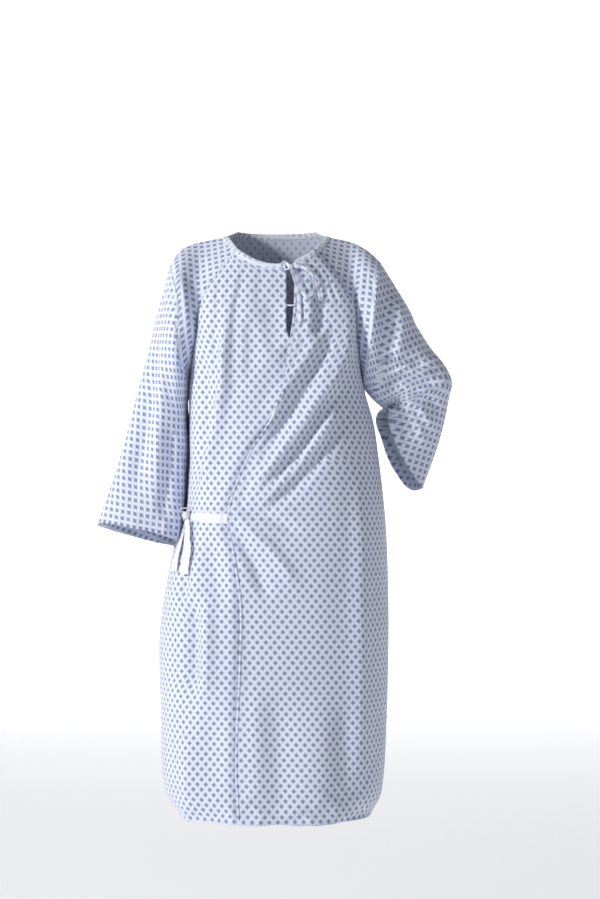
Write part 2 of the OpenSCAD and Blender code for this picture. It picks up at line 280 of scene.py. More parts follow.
# Which way each grid's cross product of columns by rows points, so that normals come out
FLIP = dict.fromkeys(GRIDS, 1) | {"back": -1, "left_head": -1, "left_sleeve": -1}


def grid_faces(shape, flip):
    m, n = shape[0], shape[1]
    i = (np.arange(m - 1)[:, None] * n + np.arange(n - 1)[None, :]).ravel()
    f = np.stack([i, i + 1, i + n + 1, i + n], 1)
    return f if flip > 0 else f[:, ::-1]


def welded(grids):
    """All grids as one mesh with shared seam points: points, faces and each grid's point numbers."""
    flat = np.concatenate([g.reshape(-1, 3) for g in grids.values()])
    tree = kdtree.KDTree(len(flat))
    for i, p in enumerate(flat):
        tree.insert(p, i)
    tree.balance()
    number = np.full(len(flat), -1)
    count = 0
    for i, p in enumerate(flat):
        if number[i] < 0:
            for _, j, _ in tree.find_range(p, 0.25):
                if number[j] < 0:
                    number[j] = count
            count += 1
    points = np.zeros((count, 3))
    points[number] = flat
    ids, faces, start = {}, [], 0
    for name, g in grids.items():
        size = g.shape[0] * g.shape[1]
        ids[name] = number[start : start + size].reshape(g.shape[:2])
        f = ids[name].ravel()[grid_faces(g.shape, FLIP[name])]
        faces += [list(dict.fromkeys(q)) for q in f.tolist()]
        start += size
    return points, [f for f in faces if len(f) > 2], ids


points, faces, IDS = welded(GRIDS)


def vertex_normals(points, faces):
    """Area-weighted normals of a mesh given as points and polygons."""
    tris = np.array([t for f in faces for t in ([f[0], f[1], f[2]], [f[0], f[2], f[-1]]) if len(set(t)) == 3])
    n = np.cross(points[tris[:, 1]] - points[tris[:, 0]], points[tris[:, 2]] - points[tris[:, 0]])
    out = np.zeros_like(points)
    for c in range(3):
        np.add.at(out, tris[:, c], n)
    return out / np.maximum(np.linalg.norm(out, axis=1), 1e-9)[:, None]


# ---------------------------------------------------------------- folds of the cloth
# Each fold: width, height (inwards where negative), then its line of x, z seen from the front
FRONT_FOLDS = [
    (11, 7, [(-97, -135), (-94, -202), (-94, -291), (-109, -366), (-128, -451), (-139, -512)]),
    (9, -5, [(-112, -150), (-110, -240), (-114, -330), (-134, -440)]),
    (12, -7, [(-128, -190), (-133, -250), (-128, -327), (-137, -400), (-148, -485)]),
    (26, -4, [(0, -120), (-2, -230)]),
    (26, -4, [(-46, -150), (-46, -275)]),
    (15, 8, [(158, -75), (135, -174), (125, -233), (109, -268), (54, -359), (-9, -435), (-66, -512)]),
    (12, 5, [(112, -160), (54, -239), (16, -300), (-24, -378)]),
    (11, -6, [(120, -180), (71, -267), (22, -342), (-36, -425)]),
    (13, -7, [(122, -272), (71, -359), (38, -413), (-22, -485)]),
    (10, -5, [(140, -330), (95, -400), (40, -465), (-30, -522)]),
    (12, 5, [(128, -310), (84, -378), (30, -440), (-38, -515)]),
    (11, -8, [(163, -85), (166, -174), (178, -230), (176, -290)]),
    (12, 3, [(60, -100), (66, -150), (60, -215)]),
    (10, -5, [(78, -95), (88, -140), (80, -205)]),
    (13, -7, [(-148, -655), (-146, -763), (-151, -870)]),
    (14, 5, [(-126, -660), (-124, -763), (-128, -880)]),
    (28, -6, [(-128, -540), (-112, -610), (-98, -700)]),
    (12, -5, [(-78, -548), (-40, -600), (-10, -680)]),
    (12, 4, [(-72, -535), (-10, -575), (50, -660)]),
    (10, -4, [(-80, -515), (-20, -520), (60, -560)]),
    (18, 5, [(156, -440), (158, -700), (155, -1083)]),
    (9, -5, [(-150, -545), (-165, -620), (-172, -700)]),
]
# Folds that run out of the hem, at their full height there
HEM_FOLDS = [
    (26, -7, [(-110, -860), (-118, -1083)]),
    (24, 6, [(-30, -800), (-34, -1083)]),
    (30, -6, [(10, -840), (6, -1083)]),
    (30, 5, [(84, -820), (88, -1083)]),
    (24, -6, [(126, -860), (130, -1083)]),
    (16, 6, [(-160, -900), (-158, -1083)]),
]
RIGHT_ARM_FOLDS = [
    (9, -8, [(-193, -50), (-186, -110), (-174, -200), (-160, -290)]),
    (12, 5, [(-180, -60), (-168, -140), (-158, -220)]),
    (14, -6, [(-212, -110), (-235, -330), (-272, -530)]),
    (14, 5, [(-200, -190), (-215, -350), (-222, -510)]),
    (13, -6, [(-186, -330), (-196, -430), (-212, -560)]),
    (13, 4, [(-232, -150), (-262, -330), (-300, -520)]),
]
LEFT_ARM_FOLDS = [
    (12, -7, [(201, -90), (210, -174), (194, -262)]),
    (12, 6, [(222, -110), (236, -174), (226, -250)]),
    (9, -7, [(188, -262), (232, -246), (292, -248)]),
    (8, 6, [(186, -270), (232, -256), (304, -262)]),
    (9, -8, [(186, -282), (238, -266), (320, -281)]),
    (8, 5, [(188, -296), (240, -284), (312, -300)]),
    (9, -7, [(190, -306), (224, -314), (246, -345), (262, -380)]),
    (9, 5, [(214, -300), (244, -322), (268, -360), (282, -405)]),
    (12, -5, [(260, -140), (286, -200), (300, -250)]),
    (7, -7, [(184, -246), (214, -232), (262, -238), (300, -236)]),
    (6, 6, [(186, -254), (226, -243), (276, -247)]),
    (7, -6, [(200, -318), (232, -352), (250, -400)]),
    (8, 6, [(228, -300), (270, -322), (300, -372)]),
    (8, -6, [(246, -292), (290, -306), (312, -340)]),
]
FOLD_DEPTH = 1.9
ARM_FOLD_DEPTH = 1.45


def fold(p, line, width, height, open_end=False):
    """How far a fold along a line lifts the points p (x, z). It fades out towards its ends."""
    line = np.array(line, float)
    steps = np.diff(line, axis=0)
    lengths = np.linalg.norm(steps, axis=1)
    starts = np.concatenate([[0], np.cumsum(lengths)])
    best = np.full(len(p), 1e9)
    place = np.zeros(len(p))
    for a, d, length, start in zip(line[:-1], steps, lengths, starts):
        t = np.clip(((p - a) @ d) / length**2, 0, 1)
        far = np.linalg.norm(p - a - t[:, None] * d, axis=1)
        place = np.where(far < best, start + t * length, place)
        best = np.minimum(best, far)
    ends = ease(place / (0.3 * starts[-1]))
    if not open_end:
        ends = ends * ease((starts[-1] - place) / (0.3 * starts[-1]))
    return height * ends * np.exp(-((best / width) ** 1.7))


def point_numbers(*names):
    return np.unique(np.concatenate([IDS[n].ravel() for n in names]))


def folded(points, faces):
    normals = vertex_normals(points, faces)
    lift = np.zeros(len(points))
    front = point_numbers("right", "flap", "left")
    p = points[front][:, [0, 2]]
    for width, height, line in FRONT_FOLDS:
        lift[front] += FOLD_DEPTH * fold(p, line, width, height)
    for width, height, line in HEM_FOLDS:
        lift[front] += fold(p, line, width, height, open_end=True)
    for names, folds in (
        (("right_head", "right_sleeve"), RIGHT_ARM_FOLDS),
        (("left_head", "left_sleeve"), LEFT_ARM_FOLDS),
    ):
        arm = point_numbers(*names)
        facing = ease((10 - points[arm][:, 1]) / 45)
        for width, height, line in folds:
            lift[arm] += facing * ARM_FOLD_DEPTH * fold(points[arm][:, [0, 2]], line, width, height)
    # The back hangs in long folds from the shoulder blades
    back = IDS["back"]
    share = np.linspace(0, 1, back.shape[1])[None, :] + 0.012 * np.sin(points[back][..., 2] / 170)
    down = ease((-150 - points[back][..., 2]) / 520)
    rounding = np.sin(np.pi * np.clip(share, 0, 1)) ** 0.7
    waves = 0.62 * np.cos(2 * np.pi * 4.3 * share + 0.4) + 0.38 * np.cos(2 * np.pi * 7.1 * share + 1.9)
    lift[back.ravel()] += (15 * down * rounding * waves).ravel()
    # Its fullness gathers beside the right side seam, under the arm
    height = points[back][..., 2]
    under_arm = ease((-270 - height) / 110) * ease((height + 700) / 160)
    beside = np.exp(-(((share - 0.10) / 0.07) ** 2)) * under_arm
    lift[back.ravel()] += (16 * beside).ravel()
    # The far sides of the sleeves hang in shallow folds too
    for name, phase in (("right_sleeve", 0.3), ("left_sleeve", 1.7)):
        ids = IDS[name]
        around = np.linspace(0, 1, ids.shape[1])[None, :]
        along = np.linspace(0, 1, ids.shape[0])[:, None]
        waves = np.cos(2 * np.pi * 5 * around + phase + 1.3 * along) * ease((around - 0.55) / 0.15)
        waves = waves * ease((0.97 - around) / 0.12) * ease(along / 0.2)
        lift[ids.ravel()] += (4.5 * waves).ravel()
    return points + normals * lift[:, None]


points = folded(points, faces)

# ---------------------------------------------------------------- the cloth settles
SIM_FRAMES = 24
CLOTH_EASE = 0.016  # how much more cloth there is than the smooth shape needs
MOST_MOVED = 14.0  # no point of the cloth settles further than this
HOLD_LEAST, HOLD_EDGES = 0.2, 0.65
# The tie and the bent elbow hold the cloth: place and reach
HOLD_SPOTS = (((-120, -100, -529), 70), ((318, 0, -285), 70), ((262, 0, -290), 60), ((-160, 0, -529), 60))
HEM_ROWS = (("right", 0), ("flap", 0), ("left", 0), ("back", 0), ("right_sleeve", -1), ("left_sleeve", -1))


def holding(points):
    """How firmly each point is held to the folded shape: least on the body, wholly at the neck."""
    z = points[:, 2]
    hold = HOLD_LEAST + (1 - HOLD_LEAST) * ease((z + 95) / 80)
    for centre, reach in HOLD_SPOTS:
        far = np.linalg.norm(points - np.array(centre), axis=1)
        hold = np.maximum(hold, 0.5 * ease((reach - far) / reach))
    for name, row in HEM_ROWS:
        hold[IDS[name][row]] = np.maximum(hold[IDS[name][row]], HOLD_EDGES)
    for name in ("right", "left", "flap"):
        hold[IDS[name][-1]] = 1
    return hold


def settled(points, faces):
    """The cloth relaxed from its folded shape for some frames, while held to it and with little weight."""
    mesh = bpy.data.meshes.new("settling")
    mesh.from_pydata((points * 0.001).tolist(), [], faces)
    obj = bpy.data.objects.new("settling", mesh)
    scene.collection.objects.link(obj)
    group = obj.vertex_groups.new(name="held")
    levels = np.round(holding(points) * 20).astype(int)
    for level in np.unique(levels):
        group.add(np.nonzero(levels == level)[0].tolist(), float(level) / 20, "REPLACE")
    obj.shape_key_add(name="Basis")
    cut = obj.shape_key_add(name="cut")
    wide = points * 0.001
    grow = 1 + CLOTH_EASE * ease((-90 - points[:, 2]) / 160)
    wide = np.stack([wide[:, 0] * grow, wide[:, 1] * grow, wide[:, 2]], 1)
    cut.data.foreach_set("co", wide.astype(np.float32).ravel())
    cut.value = 0.0
    cloth = obj.modifiers.new("settling", "CLOTH")
    s = cloth.settings
    s.quality = 5
    s.mass = 0.15
    s.air_damping = 2.0
    s.tension_stiffness = 30
    s.compression_stiffness = 30
    s.shear_stiffness = 8
    s.bending_stiffness = 0.35
    s.tension_damping = 10
    s.compression_damping = 10
    s.shear_damping = 8
    s.vertex_group_mass = "held"
    s.pin_stiffness = 0.35
    s.rest_shape_key = cut
    s.effector_weights.gravity = 0.22
    cloth.collision_settings.use_collision = False
    cloth.collision_settings.use_self_collision = False
    cloth.point_cache.frame_start = 1
    cloth.point_cache.frame_end = SIM_FRAMES
    for f in range(1, SIM_FRAMES + 1):
        scene.frame_set(f)
    held = obj.evaluated_get(bpy.context.evaluated_depsgraph_get())
    co = np.zeros(len(points) * 3, np.float32)
    held.data.vertices.foreach_get("co", co)
    bpy.data.objects.remove(obj)
    scene.frame_set(1)
    moved = co.reshape(-1, 3).astype(float) * 1000 - points
    far = np.linalg.norm(moved, axis=1, keepdims=True)
    return points + moved * np.minimum(1, MOST_MOVED / np.maximum(far, 1e-6))


points = settled(points, faces)

# ---------------------------------------------------------------- the panels as fine grids of cloth
THICKNESS = 0.9
REFINE = 1


def doubled(a, axis):
    """A grid with a point added between each two, on the smooth curve through their neighbours."""
    a = np.moveaxis(a, axis, 0)
    wide = np.concatenate([2 * a[:1] - a[1:2], a, 2 * a[-1:] - a[-2:-1]])
    out = np.empty((2 * len(a) - 1,) + a.shape[1:])
    out[0::2] = a
    out[1::2] = (9 * (wide[1:-2] + wide[2:-1]) - wide[:-3] - wide[3:]) / 16
    return np.moveaxis(out, 0, axis)


def fine(a):
    for _ in range(REFINE):
        a = doubled(doubled(a, 0), 1)
    return a


def unit(v):
    return v / np.maximum(np.linalg.norm(v, axis=-1, keepdims=True), 1e-9)


normals = vertex_normals(points, faces)
P = {name: fine(points[ids]) for name, ids in IDS.items()}
N = {name: unit(fine(normals[ids])) for name, ids in IDS.items()}
FINE_KEYS = KEYS
for _ in range(REFINE):
    FINE_KEYS = doubled(FINE_KEYS, 0)


def row_lengths(g, along=None):
    """Lengths along a grid's rows, without the part of each step that goes along the other direction."""
    step = (np.diff(g, axis=1) ** 2).sum(2)
    if along is not None:
        step = np.maximum(step - np.diff(along, axis=1) ** 2, 0)
    return np.concatenate([np.zeros((len(g), 1)), np.cumsum(np.sqrt(step), 1)], 1)


def at_x(g, values, x):
    """Values of a grid's rows read at one x for each row."""
    return np.array([np.interp(xx, row[:, 0], v) for xx, row, v in zip(x, g, values)])


def upright_map(g, x_reference):
    """Flat cloth coordinates with the print upright: along the rows from a line, and up."""
    u = row_lengths(g, g[..., 2])
    return np.stack([u - at_x(g, u, x_reference)[:, None], g[..., 2]], -1)


def turned_map(g, along, turn=45.0, twist=0.0):
    """Flat cloth coordinates with the print turned on the bias: around from the top, and along."""
    u = row_lengths(g, along)
    u = u - u[:, [u.shape[1] // 2]]
    drop = along - along[:1].mean()
    u = u + twist * drop * ease(drop / 160)
    a = math.radians(turn)
    return np.stack([u * math.cos(a) - along * math.sin(a), u * math.sin(a) + along * math.cos(a)], -1)


# Front panels: the flap and the left side are one cloth, the right side runs on under the flap
left_all = np.concatenate([P["flap"], P["left"][:, 1:]], 1)
left_normals = np.concatenate([N["flap"], N["left"][:, 1:]], 1)
left_map = upright_map(left_all, crease_x(FINE_KEYS))
n_flap = P["flap"].shape[1]
apex_row = int(np.argmin(np.abs(FINE_KEYS - CREASE_TOP[0])))

UNDERLAP_INSET = 6.0
N_UNDER = 10 * (1 + REFINE)


def right_panel():
    g, n = P["right"], N["right"]
    row_all = np.concatenate([g, left_all], 1)
    normal_all = np.concatenate([n, left_normals], 1)
    wrap = curve(WRAP, FINE_KEYS)
    under = np.maximum(curve(UNDER, FINE_KEYS), g[:, -1, 0] + 0.6)
    x = spread(g[:, -1, 0], under, N_UNDER)[:, 1:]
    order = [np.argsort(r[:, 0], kind="stable") for r in row_all]

    def across(values):
        """The rows' values read at the underlap's x."""
        rows = list(zip(x, row_all, values, order))
        return np.stack([
            np.stack([np.interp(xx, r[o, 0], v[o, c]) for xx, r, v, o in rows]) for c in range(3)
        ], -1)

    extra, extra_n = across(row_all), across(normal_all)
    g = np.concatenate([g, extra], 1)
    n = unit(np.concatenate([n, extra_n], 1))
    closed = ease((SLIT_END_KEY + 12 - FINE_KEYS) / 24)[:, None]
    sunk = UNDERLAP_INSET * closed * ease((g[..., 0] - wrap[:, None] + 16) / 18)
    return g - n * sunk[..., None], n


right_all, right_normals = right_panel()
left_lift = 1.5 * ease((1.0 - (left_all[..., 0] - left_all[:, :1, 0]) / 22))
left_all = left_all + left_normals * left_lift[..., None]
right_map = upright_map(right_all, np.full(len(FINE_KEYS), -80.0))
back_map = upright_map(P["back"], np.zeros(len(FINE_KEYS)))

RIGHT_AXIS = np.array([-0.27, 0, -0.963])
LEFT_UPPER_AXIS = np.array([0.5, 0, -0.866])
LEFT_FORE_AXIS = np.array([-0.2, 0, -0.98])
ELBOW_SPARE = 24.0  # cloth that the outside of the bent elbow needs, and the crook folds away


def sleeve_along(g, side):
    if side == "right":
        return g @ RIGHT_AXIS
    elbow = np.array([262, 0, -290])
    bent = ease((np.linspace(0, 6, len(g)) - 2.0) / 2.2)[:, None]
    return mix((g - elbow) @ LEFT_UPPER_AXIS, (g - elbow) @ LEFT_FORE_AXIS + ELBOW_SPARE, bent)


right_head_map = turned_map(P["right_head"], -P["right_head"][..., 0])
left_head_map = turned_map(P["left_head"], P["left_head"][..., 0])
right_sleeve_map = turned_map(P["right_sleeve"], sleeve_along(P["right_sleeve"], "right"), twist=0.32)
left_sleeve_map = turned_map(P["left_sleeve"], sleeve_along(P["left_sleeve"], "left"))
PANELS = {
    "back_panel": (P["back"], N["back"], back_map, -1),
    "right_front_panel": (right_all, right_normals, right_map, 1),
    "front_wrap_flap": tuple(a[: apex_row + 1, :n_flap] for a in (left_all, left_normals, left_map)) + (1,),
    "right_sleeve_head": (P["right_head"], N["right_head"], right_head_map, 1),
    "left_sleeve_head": (P["left_head"], N["left_head"], left_head_map, -1),
    "right_sleeve": (P["right_sleeve"], N["right_sleeve"], right_sleeve_map, 1),
    "left_sleeve": (P["left_sleeve"], N["left_sleeve"], left_sleeve_map, -1),
}

# ---------------------------------------------------------------- materials
LATTICE_WIDE, LATTICE_HIGH = 15.7, 18.6  # one repeat of the print, a motif at its corners and its middle


class Nodes:
    """Short names for building a material's nodes."""

    def __init__(self, name):
        self.material = bpy.data.materials.new(name)
        self.material.use_nodes = True
        self.tree = self.material.node_tree
        self.shader = self.tree.nodes["Principled BSDF"]

    def put(self, socket, value):
        if isinstance(value, bpy.types.NodeSocket):
            self.tree.links.new(value, socket)
        else:
            socket.default_value = value

    def math(self, operation, a, b=0.0, c=0.0, clamp=False):
        node = self.tree.nodes.new("ShaderNodeMath")
        node.operation = operation
        node.use_clamp = clamp
        for socket, value in zip(node.inputs, (a, b, c)):
            self.put(socket, value)
        return node.outputs[0]

    def step(self, value, low, high):
        """0 below low, 1 above high, smooth between."""
        node = self.tree.nodes.new("ShaderNodeMapRange")
        node.interpolation_type = "SMOOTHSTEP"
        self.put(node.inputs["Value"], value)
        node.inputs["From Min"].default_value = low
        node.inputs["From Max"].default_value = high
        return node.outputs[0]

    def mix(self, factor, a, b):
        node = self.tree.nodes.new("ShaderNodeMix")
        node.data_type = "RGBA"
        self.put(node.inputs[0], factor)
        self.put(node.inputs[6], a)
        self.put(node.inputs[7], b)
        return node.outputs[2]

    def cloth_position(self):
        uv = self.tree.nodes.new("ShaderNodeUVMap")
        uv.uv_map = "cloth"
        split = self.tree.nodes.new("ShaderNodeSeparateXYZ")
        self.tree.links.new(uv.outputs[0], split.inputs[0])
        u = self.math("MULTIPLY", split.outputs[0], 1000.0)
        v = self.math("MULTIPLY", split.outputs[1], 1000.0)
        return uv.outputs[0], u, v

    def noise(self, vector, scale, detail=3.0, roughness=0.5):
        node = self.tree.nodes.new("ShaderNodeTexNoise")
        self.tree.links.new(vector, node.inputs["Vector"])
        node.inputs["Scale"].default_value = scale
        node.inputs["Detail"].default_value = detail
        node.inputs["Roughness"].default_value = roughness
        return node.outputs[0]

    def object_position(self):
        return self.tree.nodes.new("ShaderNodeTexCoord").outputs["Object"]

    def bump(self, height, distance, strength=1.0, normal=None):
        node = self.tree.nodes.new("ShaderNodeBump")
        self.put(node.inputs["Height"], height)
        node.inputs["Distance"].default_value = distance
        node.inputs["Strength"].default_value = strength
        if normal is not None:
            self.tree.links.new(normal, node.inputs["Normal"])
        return node.outputs[0]

    def finish(self, colour, roughness, normal, sheen=0.25, specular=0.3):
        self.put(self.shader.inputs["Base Color"], colour)
        self.put(self.shader.inputs["Roughness"], roughness)
        self.put(self.shader.inputs["Normal"], normal)
        self.shader.inputs["Sheen Weight"].default_value = sheen
        self.shader.inputs["Sheen Roughness"].default_value = 0.5
        self.shader.inputs["Specular IOR Level"].default_value = specular
        return self.material


def plain_weave(n, u, v, pitch):
    """Height of a plain weave: crossing threads, over and under in turn."""
    a = n.math("SINE", n.math("MULTIPLY", u, math.pi / pitch))
    b = n.math("SINE", n.math("MULTIPLY", v, math.pi / pitch))
    over = n.math("MULTIPLY", a, b)
    return n.math("ADD", n.math("ABSOLUTE", a), n.math("MULTIPLY", over, 0.5))


def linear(r, g, b):
    """An 0-255 screen colour as the shader wants it."""
    return tuple(((c / 255 + 0.055) / 1.055) ** 2.4 if c > 10 else c / 3294.6 for c in (r, g, b)) + (1.0,)


def printed_cloth(name, ground, line, motif, speck, strength=1.0):
    n = Nodes(name)
    vector, u, v = n.cloth_position()
    us = n.math("DIVIDE", u, LATTICE_WIDE)
    vs = n.math("DIVIDE", v, LATTICE_HIGH)
    fs = n.math("SUBTRACT", n.math("FRACT", n.math("ADD", us, vs)), 0.5)
    ft = n.math("SUBTRACT", n.math("FRACT", n.math("SUBTRACT", us, vs)), 0.5)
    du = n.math("MULTIPLY", n.math("ADD", fs, ft), LATTICE_WIDE / 2)
    dv = n.math("MULTIPLY", n.math("SUBTRACT", fs, ft), LATTICE_HIGH / 2)
    du2, dv2 = n.math("MULTIPLY", du, du), n.math("MULTIPLY", dv, dv)
    r2 = n.math("ADD", n.math("ADD", du2, dv2), 0.01)
    cosine = n.math("DIVIDE", n.math("SUBTRACT", du2, dv2), r2)
    petals = n.math("MULTIPLY", cosine, cosine)
    reach = n.math("MULTIPLY_ADD", petals, 1.7, 2.3)
    radius = n.math("SQRT", r2)
    print_edge = n.math("MULTIPLY", n.noise(vector, 900.0, 2.0), 0.7)
    past_reach = n.math("SUBTRACT", n.math("ADD", radius, print_edge), reach)
    motif_mask = n.math("SUBTRACT", 1.0, n.step(past_reach, -0.1, 0.75))
    # Thin pale gaps between the petals, and a pale dot in the middle
    gap = n.step(n.math("ABSOLUTE", cosine), 0.02, 0.30)
    gap = n.math("MAXIMUM", gap, n.step(radius, 2.4, 1.4))
    dot = n.step(radius, 0.45, 0.85)
    gaps = n.math("MULTIPLY", n.math("MULTIPLY_ADD", gap, 0.55, 0.45), dot)
    motif_mask = n.math("MULTIPLY", motif_mask, gaps)
    motif_mask = n.math("MULTIPLY", motif_mask, strength, clamp=True)
    # Pale lines midway between the motifs
    edge = n.math("SUBTRACT", 0.5, n.math("MAXIMUM", n.math("ABSOLUTE", fs), n.math("ABSOLUTE", ft)))
    line_mask = n.math("SUBTRACT", 1.0, n.step(edge, 0.03, 0.085))
    crossing = n.math("SUBTRACT", 0.5, n.math("MINIMUM", n.math("ABSOLUTE", fs), n.math("ABSOLUTE", ft)))
    speck_mask = n.math("MULTIPLY", n.math("SUBTRACT", 1.0, n.step(crossing, 0.05, 0.11)), 0.45 * strength)
    patch = n.noise(n.object_position(), 9.0, 2.0)
    ground_varied = n.mix(n.math("MULTIPLY", patch, 0.35), ground, line)
    colour = n.mix(line_mask, ground_varied, line)
    colour = n.mix(speck_mask, colour, speck)
    colour = n.mix(motif_mask, colour, motif)
    slub = n.step(n.noise(vector, 420.0, 4.0, 0.7), 0.35, 0.75)
    colour = n.mix(n.math("MULTIPLY", slub, 0.10), colour, line)
    roughness = n.math("MULTIPLY_ADD", n.noise(vector, 160.0, 3.0), 0.16, 0.70)
    weave = n.bump(plain_weave(n, u, v, 0.42), 0.00009, 0.5)
    crumple = n.bump(n.noise(n.object_position(), 26.0, 4.0, 0.55), 0.0045, 0.45, weave)
    return n.finish(colour, roughness, crumple)


def white_tape(name, ground, shade_and_wear):
    n = Nodes(name)
    vector, u, v = n.cloth_position()
    # The ribs turn back and forth: a herringbone
    folded_u = n.math("PINGPONG", u, 3.2)
    rib = n.math("SINE", n.math("MULTIPLY", n.math("ADD", folded_u, v), 2 * math.pi / 1.15))
    ribs = n.step(rib, -0.9, 0.9)
    worn = n.noise(n.object_position(), 60.0, 3.0)
    # Painted shade: the grooves between the ribs are darkened towards the shade colour. The worn noise below
    # darkens random patches towards the same colour.
    colour = n.mix(n.math("MULTIPLY", n.math("SUBTRACT", 1.0, ribs), 0.5), ground, shade_and_wear)
    colour = n.mix(n.math("MULTIPLY", worn, 0.25), colour, shade_and_wear)
    roughness = n.math("MULTIPLY_ADD", n.noise(vector, 300.0, 2.0), 0.15, 0.75)
    normal = n.bump(ribs, 0.00018, 0.6)
    normal = n.bump(n.noise(n.object_position(), 90.0, 3.0), 0.002, 0.35, normal)
    return n.finish(colour, roughness, normal)


def thread(name, colour_a, colour_b):
    n = Nodes(name)
    ply = n.noise(n.object_position(), 1500.0, 2.0)
    colour = n.mix(n.step(ply, 0.35, 0.65), colour_a, colour_b)
    roughness = n.math("MULTIPLY_ADD", ply, 0.2, 0.55)
    return n.finish(colour, roughness, n.bump(ply, 0.0001, 0.5), sheen=0.1)


PALE, WHITE = linear(199, 208, 233), linear(236, 240, 250)
MOTIF, SPECK = linear(108, 118, 158), linear(184, 195, 212)
PRINT = printed_cloth("printed_cloth", PALE, WHITE, MOTIF, SPECK)
REVERSE = printed_cloth(
    "printed_reverse", linear(205, 212, 231), linear(220, 226, 242), linear(156, 164, 194), SPECK, 0.7
)
# The binding, the neck strips and the neck knot are the same printed cloth as the gown. Their paler ground
# and line and weaker print are a painted highlight, so the strips read lighter than the body.
BINDING_PAINTED_HIGHLIGHT = printed_cloth(
    "binding_cloth_painted_highlight", linear(222, 229, 247), linear(243, 246, 253), linear(126, 134, 170), SPECK, 0.5
)
# The hems, cuffs and facings are the same printed cloth. Their darker ground and line are painted shade,
# which keeps the turned edges from looking white where they catch the light.
HEM_PAINTED_SHADE = printed_cloth("hem_cloth_painted_shade", linear(198, 207, 229), linear(220, 227, 243), MOTIF, SPECK, 0.95)
TAPE = white_tape("white_tape", linear(243, 244, 248), linear(205, 209, 219))
THREAD = thread("thread", linear(238, 241, 250), linear(206, 212, 232))

# ---------------------------------------------------------------- making the pieces
MM = 0.001


def piece(name, verts, faces, maps, materials, picks=None):
    """A mesh piece from points in millimetres, with its flat cloth coordinates."""
    mesh = bpy.data.meshes.new(name)
    mesh.from_pydata((np.asarray(verts) * MM).tolist(), [], [list(map(int, f)) for f in faces])
    layer = mesh.uv_layers.new(name="cloth")
    loops = np.zeros(len(mesh.loops), int)
    mesh.loops.foreach_get("vertex_index", loops)
    layer.data.foreach_set("uv", (np.asarray(maps)[loops] * MM).astype(np.float32).ravel())
    for m in materials:
        mesh.materials.append(m)
    if picks is not None:
        mesh.polygons.foreach_set("material_index", np.asarray(picks, np.int32))
    mesh.shade_smooth()
    mesh.set_sharp_from_angle(angle=math.radians(55))
    mesh.validate()
    obj = bpy.data.objects.new(name, mesh)
    scene.collection.objects.link(obj)
    return obj


def slab(name, g, n, uv, flip):
    """A panel of cloth with its outer face, its inner face and its edges."""
    rows, columns = g.shape[:2]
    half = n * THICKNESS / 2
    verts = np.concatenate([(g + half).reshape(-1, 3), (g - half).reshape(-1, 3)])
    maps = np.concatenate([uv.reshape(-1, 2)] * 2)
    outer = grid_faces(g.shape, flip)
    inner = grid_faces(g.shape, -flip) + rows * columns
    ids = np.arange(rows * columns).reshape(rows, columns)
    around = np.concatenate([ids[0], ids[1:, -1], ids[-1, -2::-1], ids[-2:0:-1, 0]])
    after = np.roll(around, -1)
    rim = np.stack([after, around, around + rows * columns, after + rows * columns], 1)
    if flip < 0:
        rim = rim[:, ::-1]
    picks = np.concatenate([np.zeros(len(outer)), np.ones(len(inner)), np.zeros(len(rim))])
    faces = np.concatenate([outer, inner, rim])
    faces, picks = without_slivers(verts, faces, picks)
    return piece(name, verts, faces, maps, (PRINT, REVERSE), picks)


def without_slivers(verts, faces, picks):
    """Drops faces whose points have run together, and repeated points of the rest."""
    out, kept = [], []
    p = np.round(verts, 4)
    for f, k in zip(faces.tolist(), picks.tolist()):
        ring = [i for i, j in zip(f, f[1:] + f[:1]) if (p[i] != p[j]).any()]
        if len(ring) > 2:
            out.append(ring)
            kept.append(k)
    return out, kept


def tube(name, rings, maps, material, closed=False):
    """A solid strip through closed cross-sections, with its ends filled."""
    k, m = rings.shape[:2]
    i = np.arange(k if closed else k - 1)[:, None] * m
    j = np.arange(m)[None, :]
    nxt = (i + m) % (k * m)
    a, b = i + j, i + (j + 1) % m
    c, d = nxt + (j + 1) % m, nxt + j
    faces = np.stack([a.ravel(), b.ravel(), c.ravel(), d.ravel()], 1).tolist()
    if not closed:
        faces.append(list(range(m))[::-1])
        faces.append(list(range((k - 1) * m, k * m)))
    verts = rings.reshape(-1, 3)
    return piece(name, verts, faces, maps.reshape(-1, 2), [material])


def outwards(rings, maps):
    """Rings and maps in the order that makes the strip's faces point outwards."""
    centre = rings.mean(1)
    way = unit(centre[1] - centre[0])
    turn = np.cross(rings[0] - centre[0], np.roll(rings[0], -1, 0) - centre[0]).sum(0)
    return (rings, maps) if turn @ way > 0 else (rings[:, ::-1], maps[:, ::-1])


def inwards(g, n, uv, distances):
    """Surface points, normals and maps at distances from a grid's first row, along its columns."""
    step = np.linalg.norm(np.diff(g, axis=0), axis=2)
    far = np.concatenate([np.zeros((1, g.shape[1])), np.cumsum(step, 0)])
    out = []
    for values in (g, n, uv):
        got = np.empty((len(distances), g.shape[1], values.shape[2]))
        for j in range(g.shape[1]):
            for c in range(values.shape[2]):
                got[:, j, c] = np.interp(distances, far[:, j], values[:, j, c])
        out.append(got)
    return out[0], unit(out[1]), out[2]


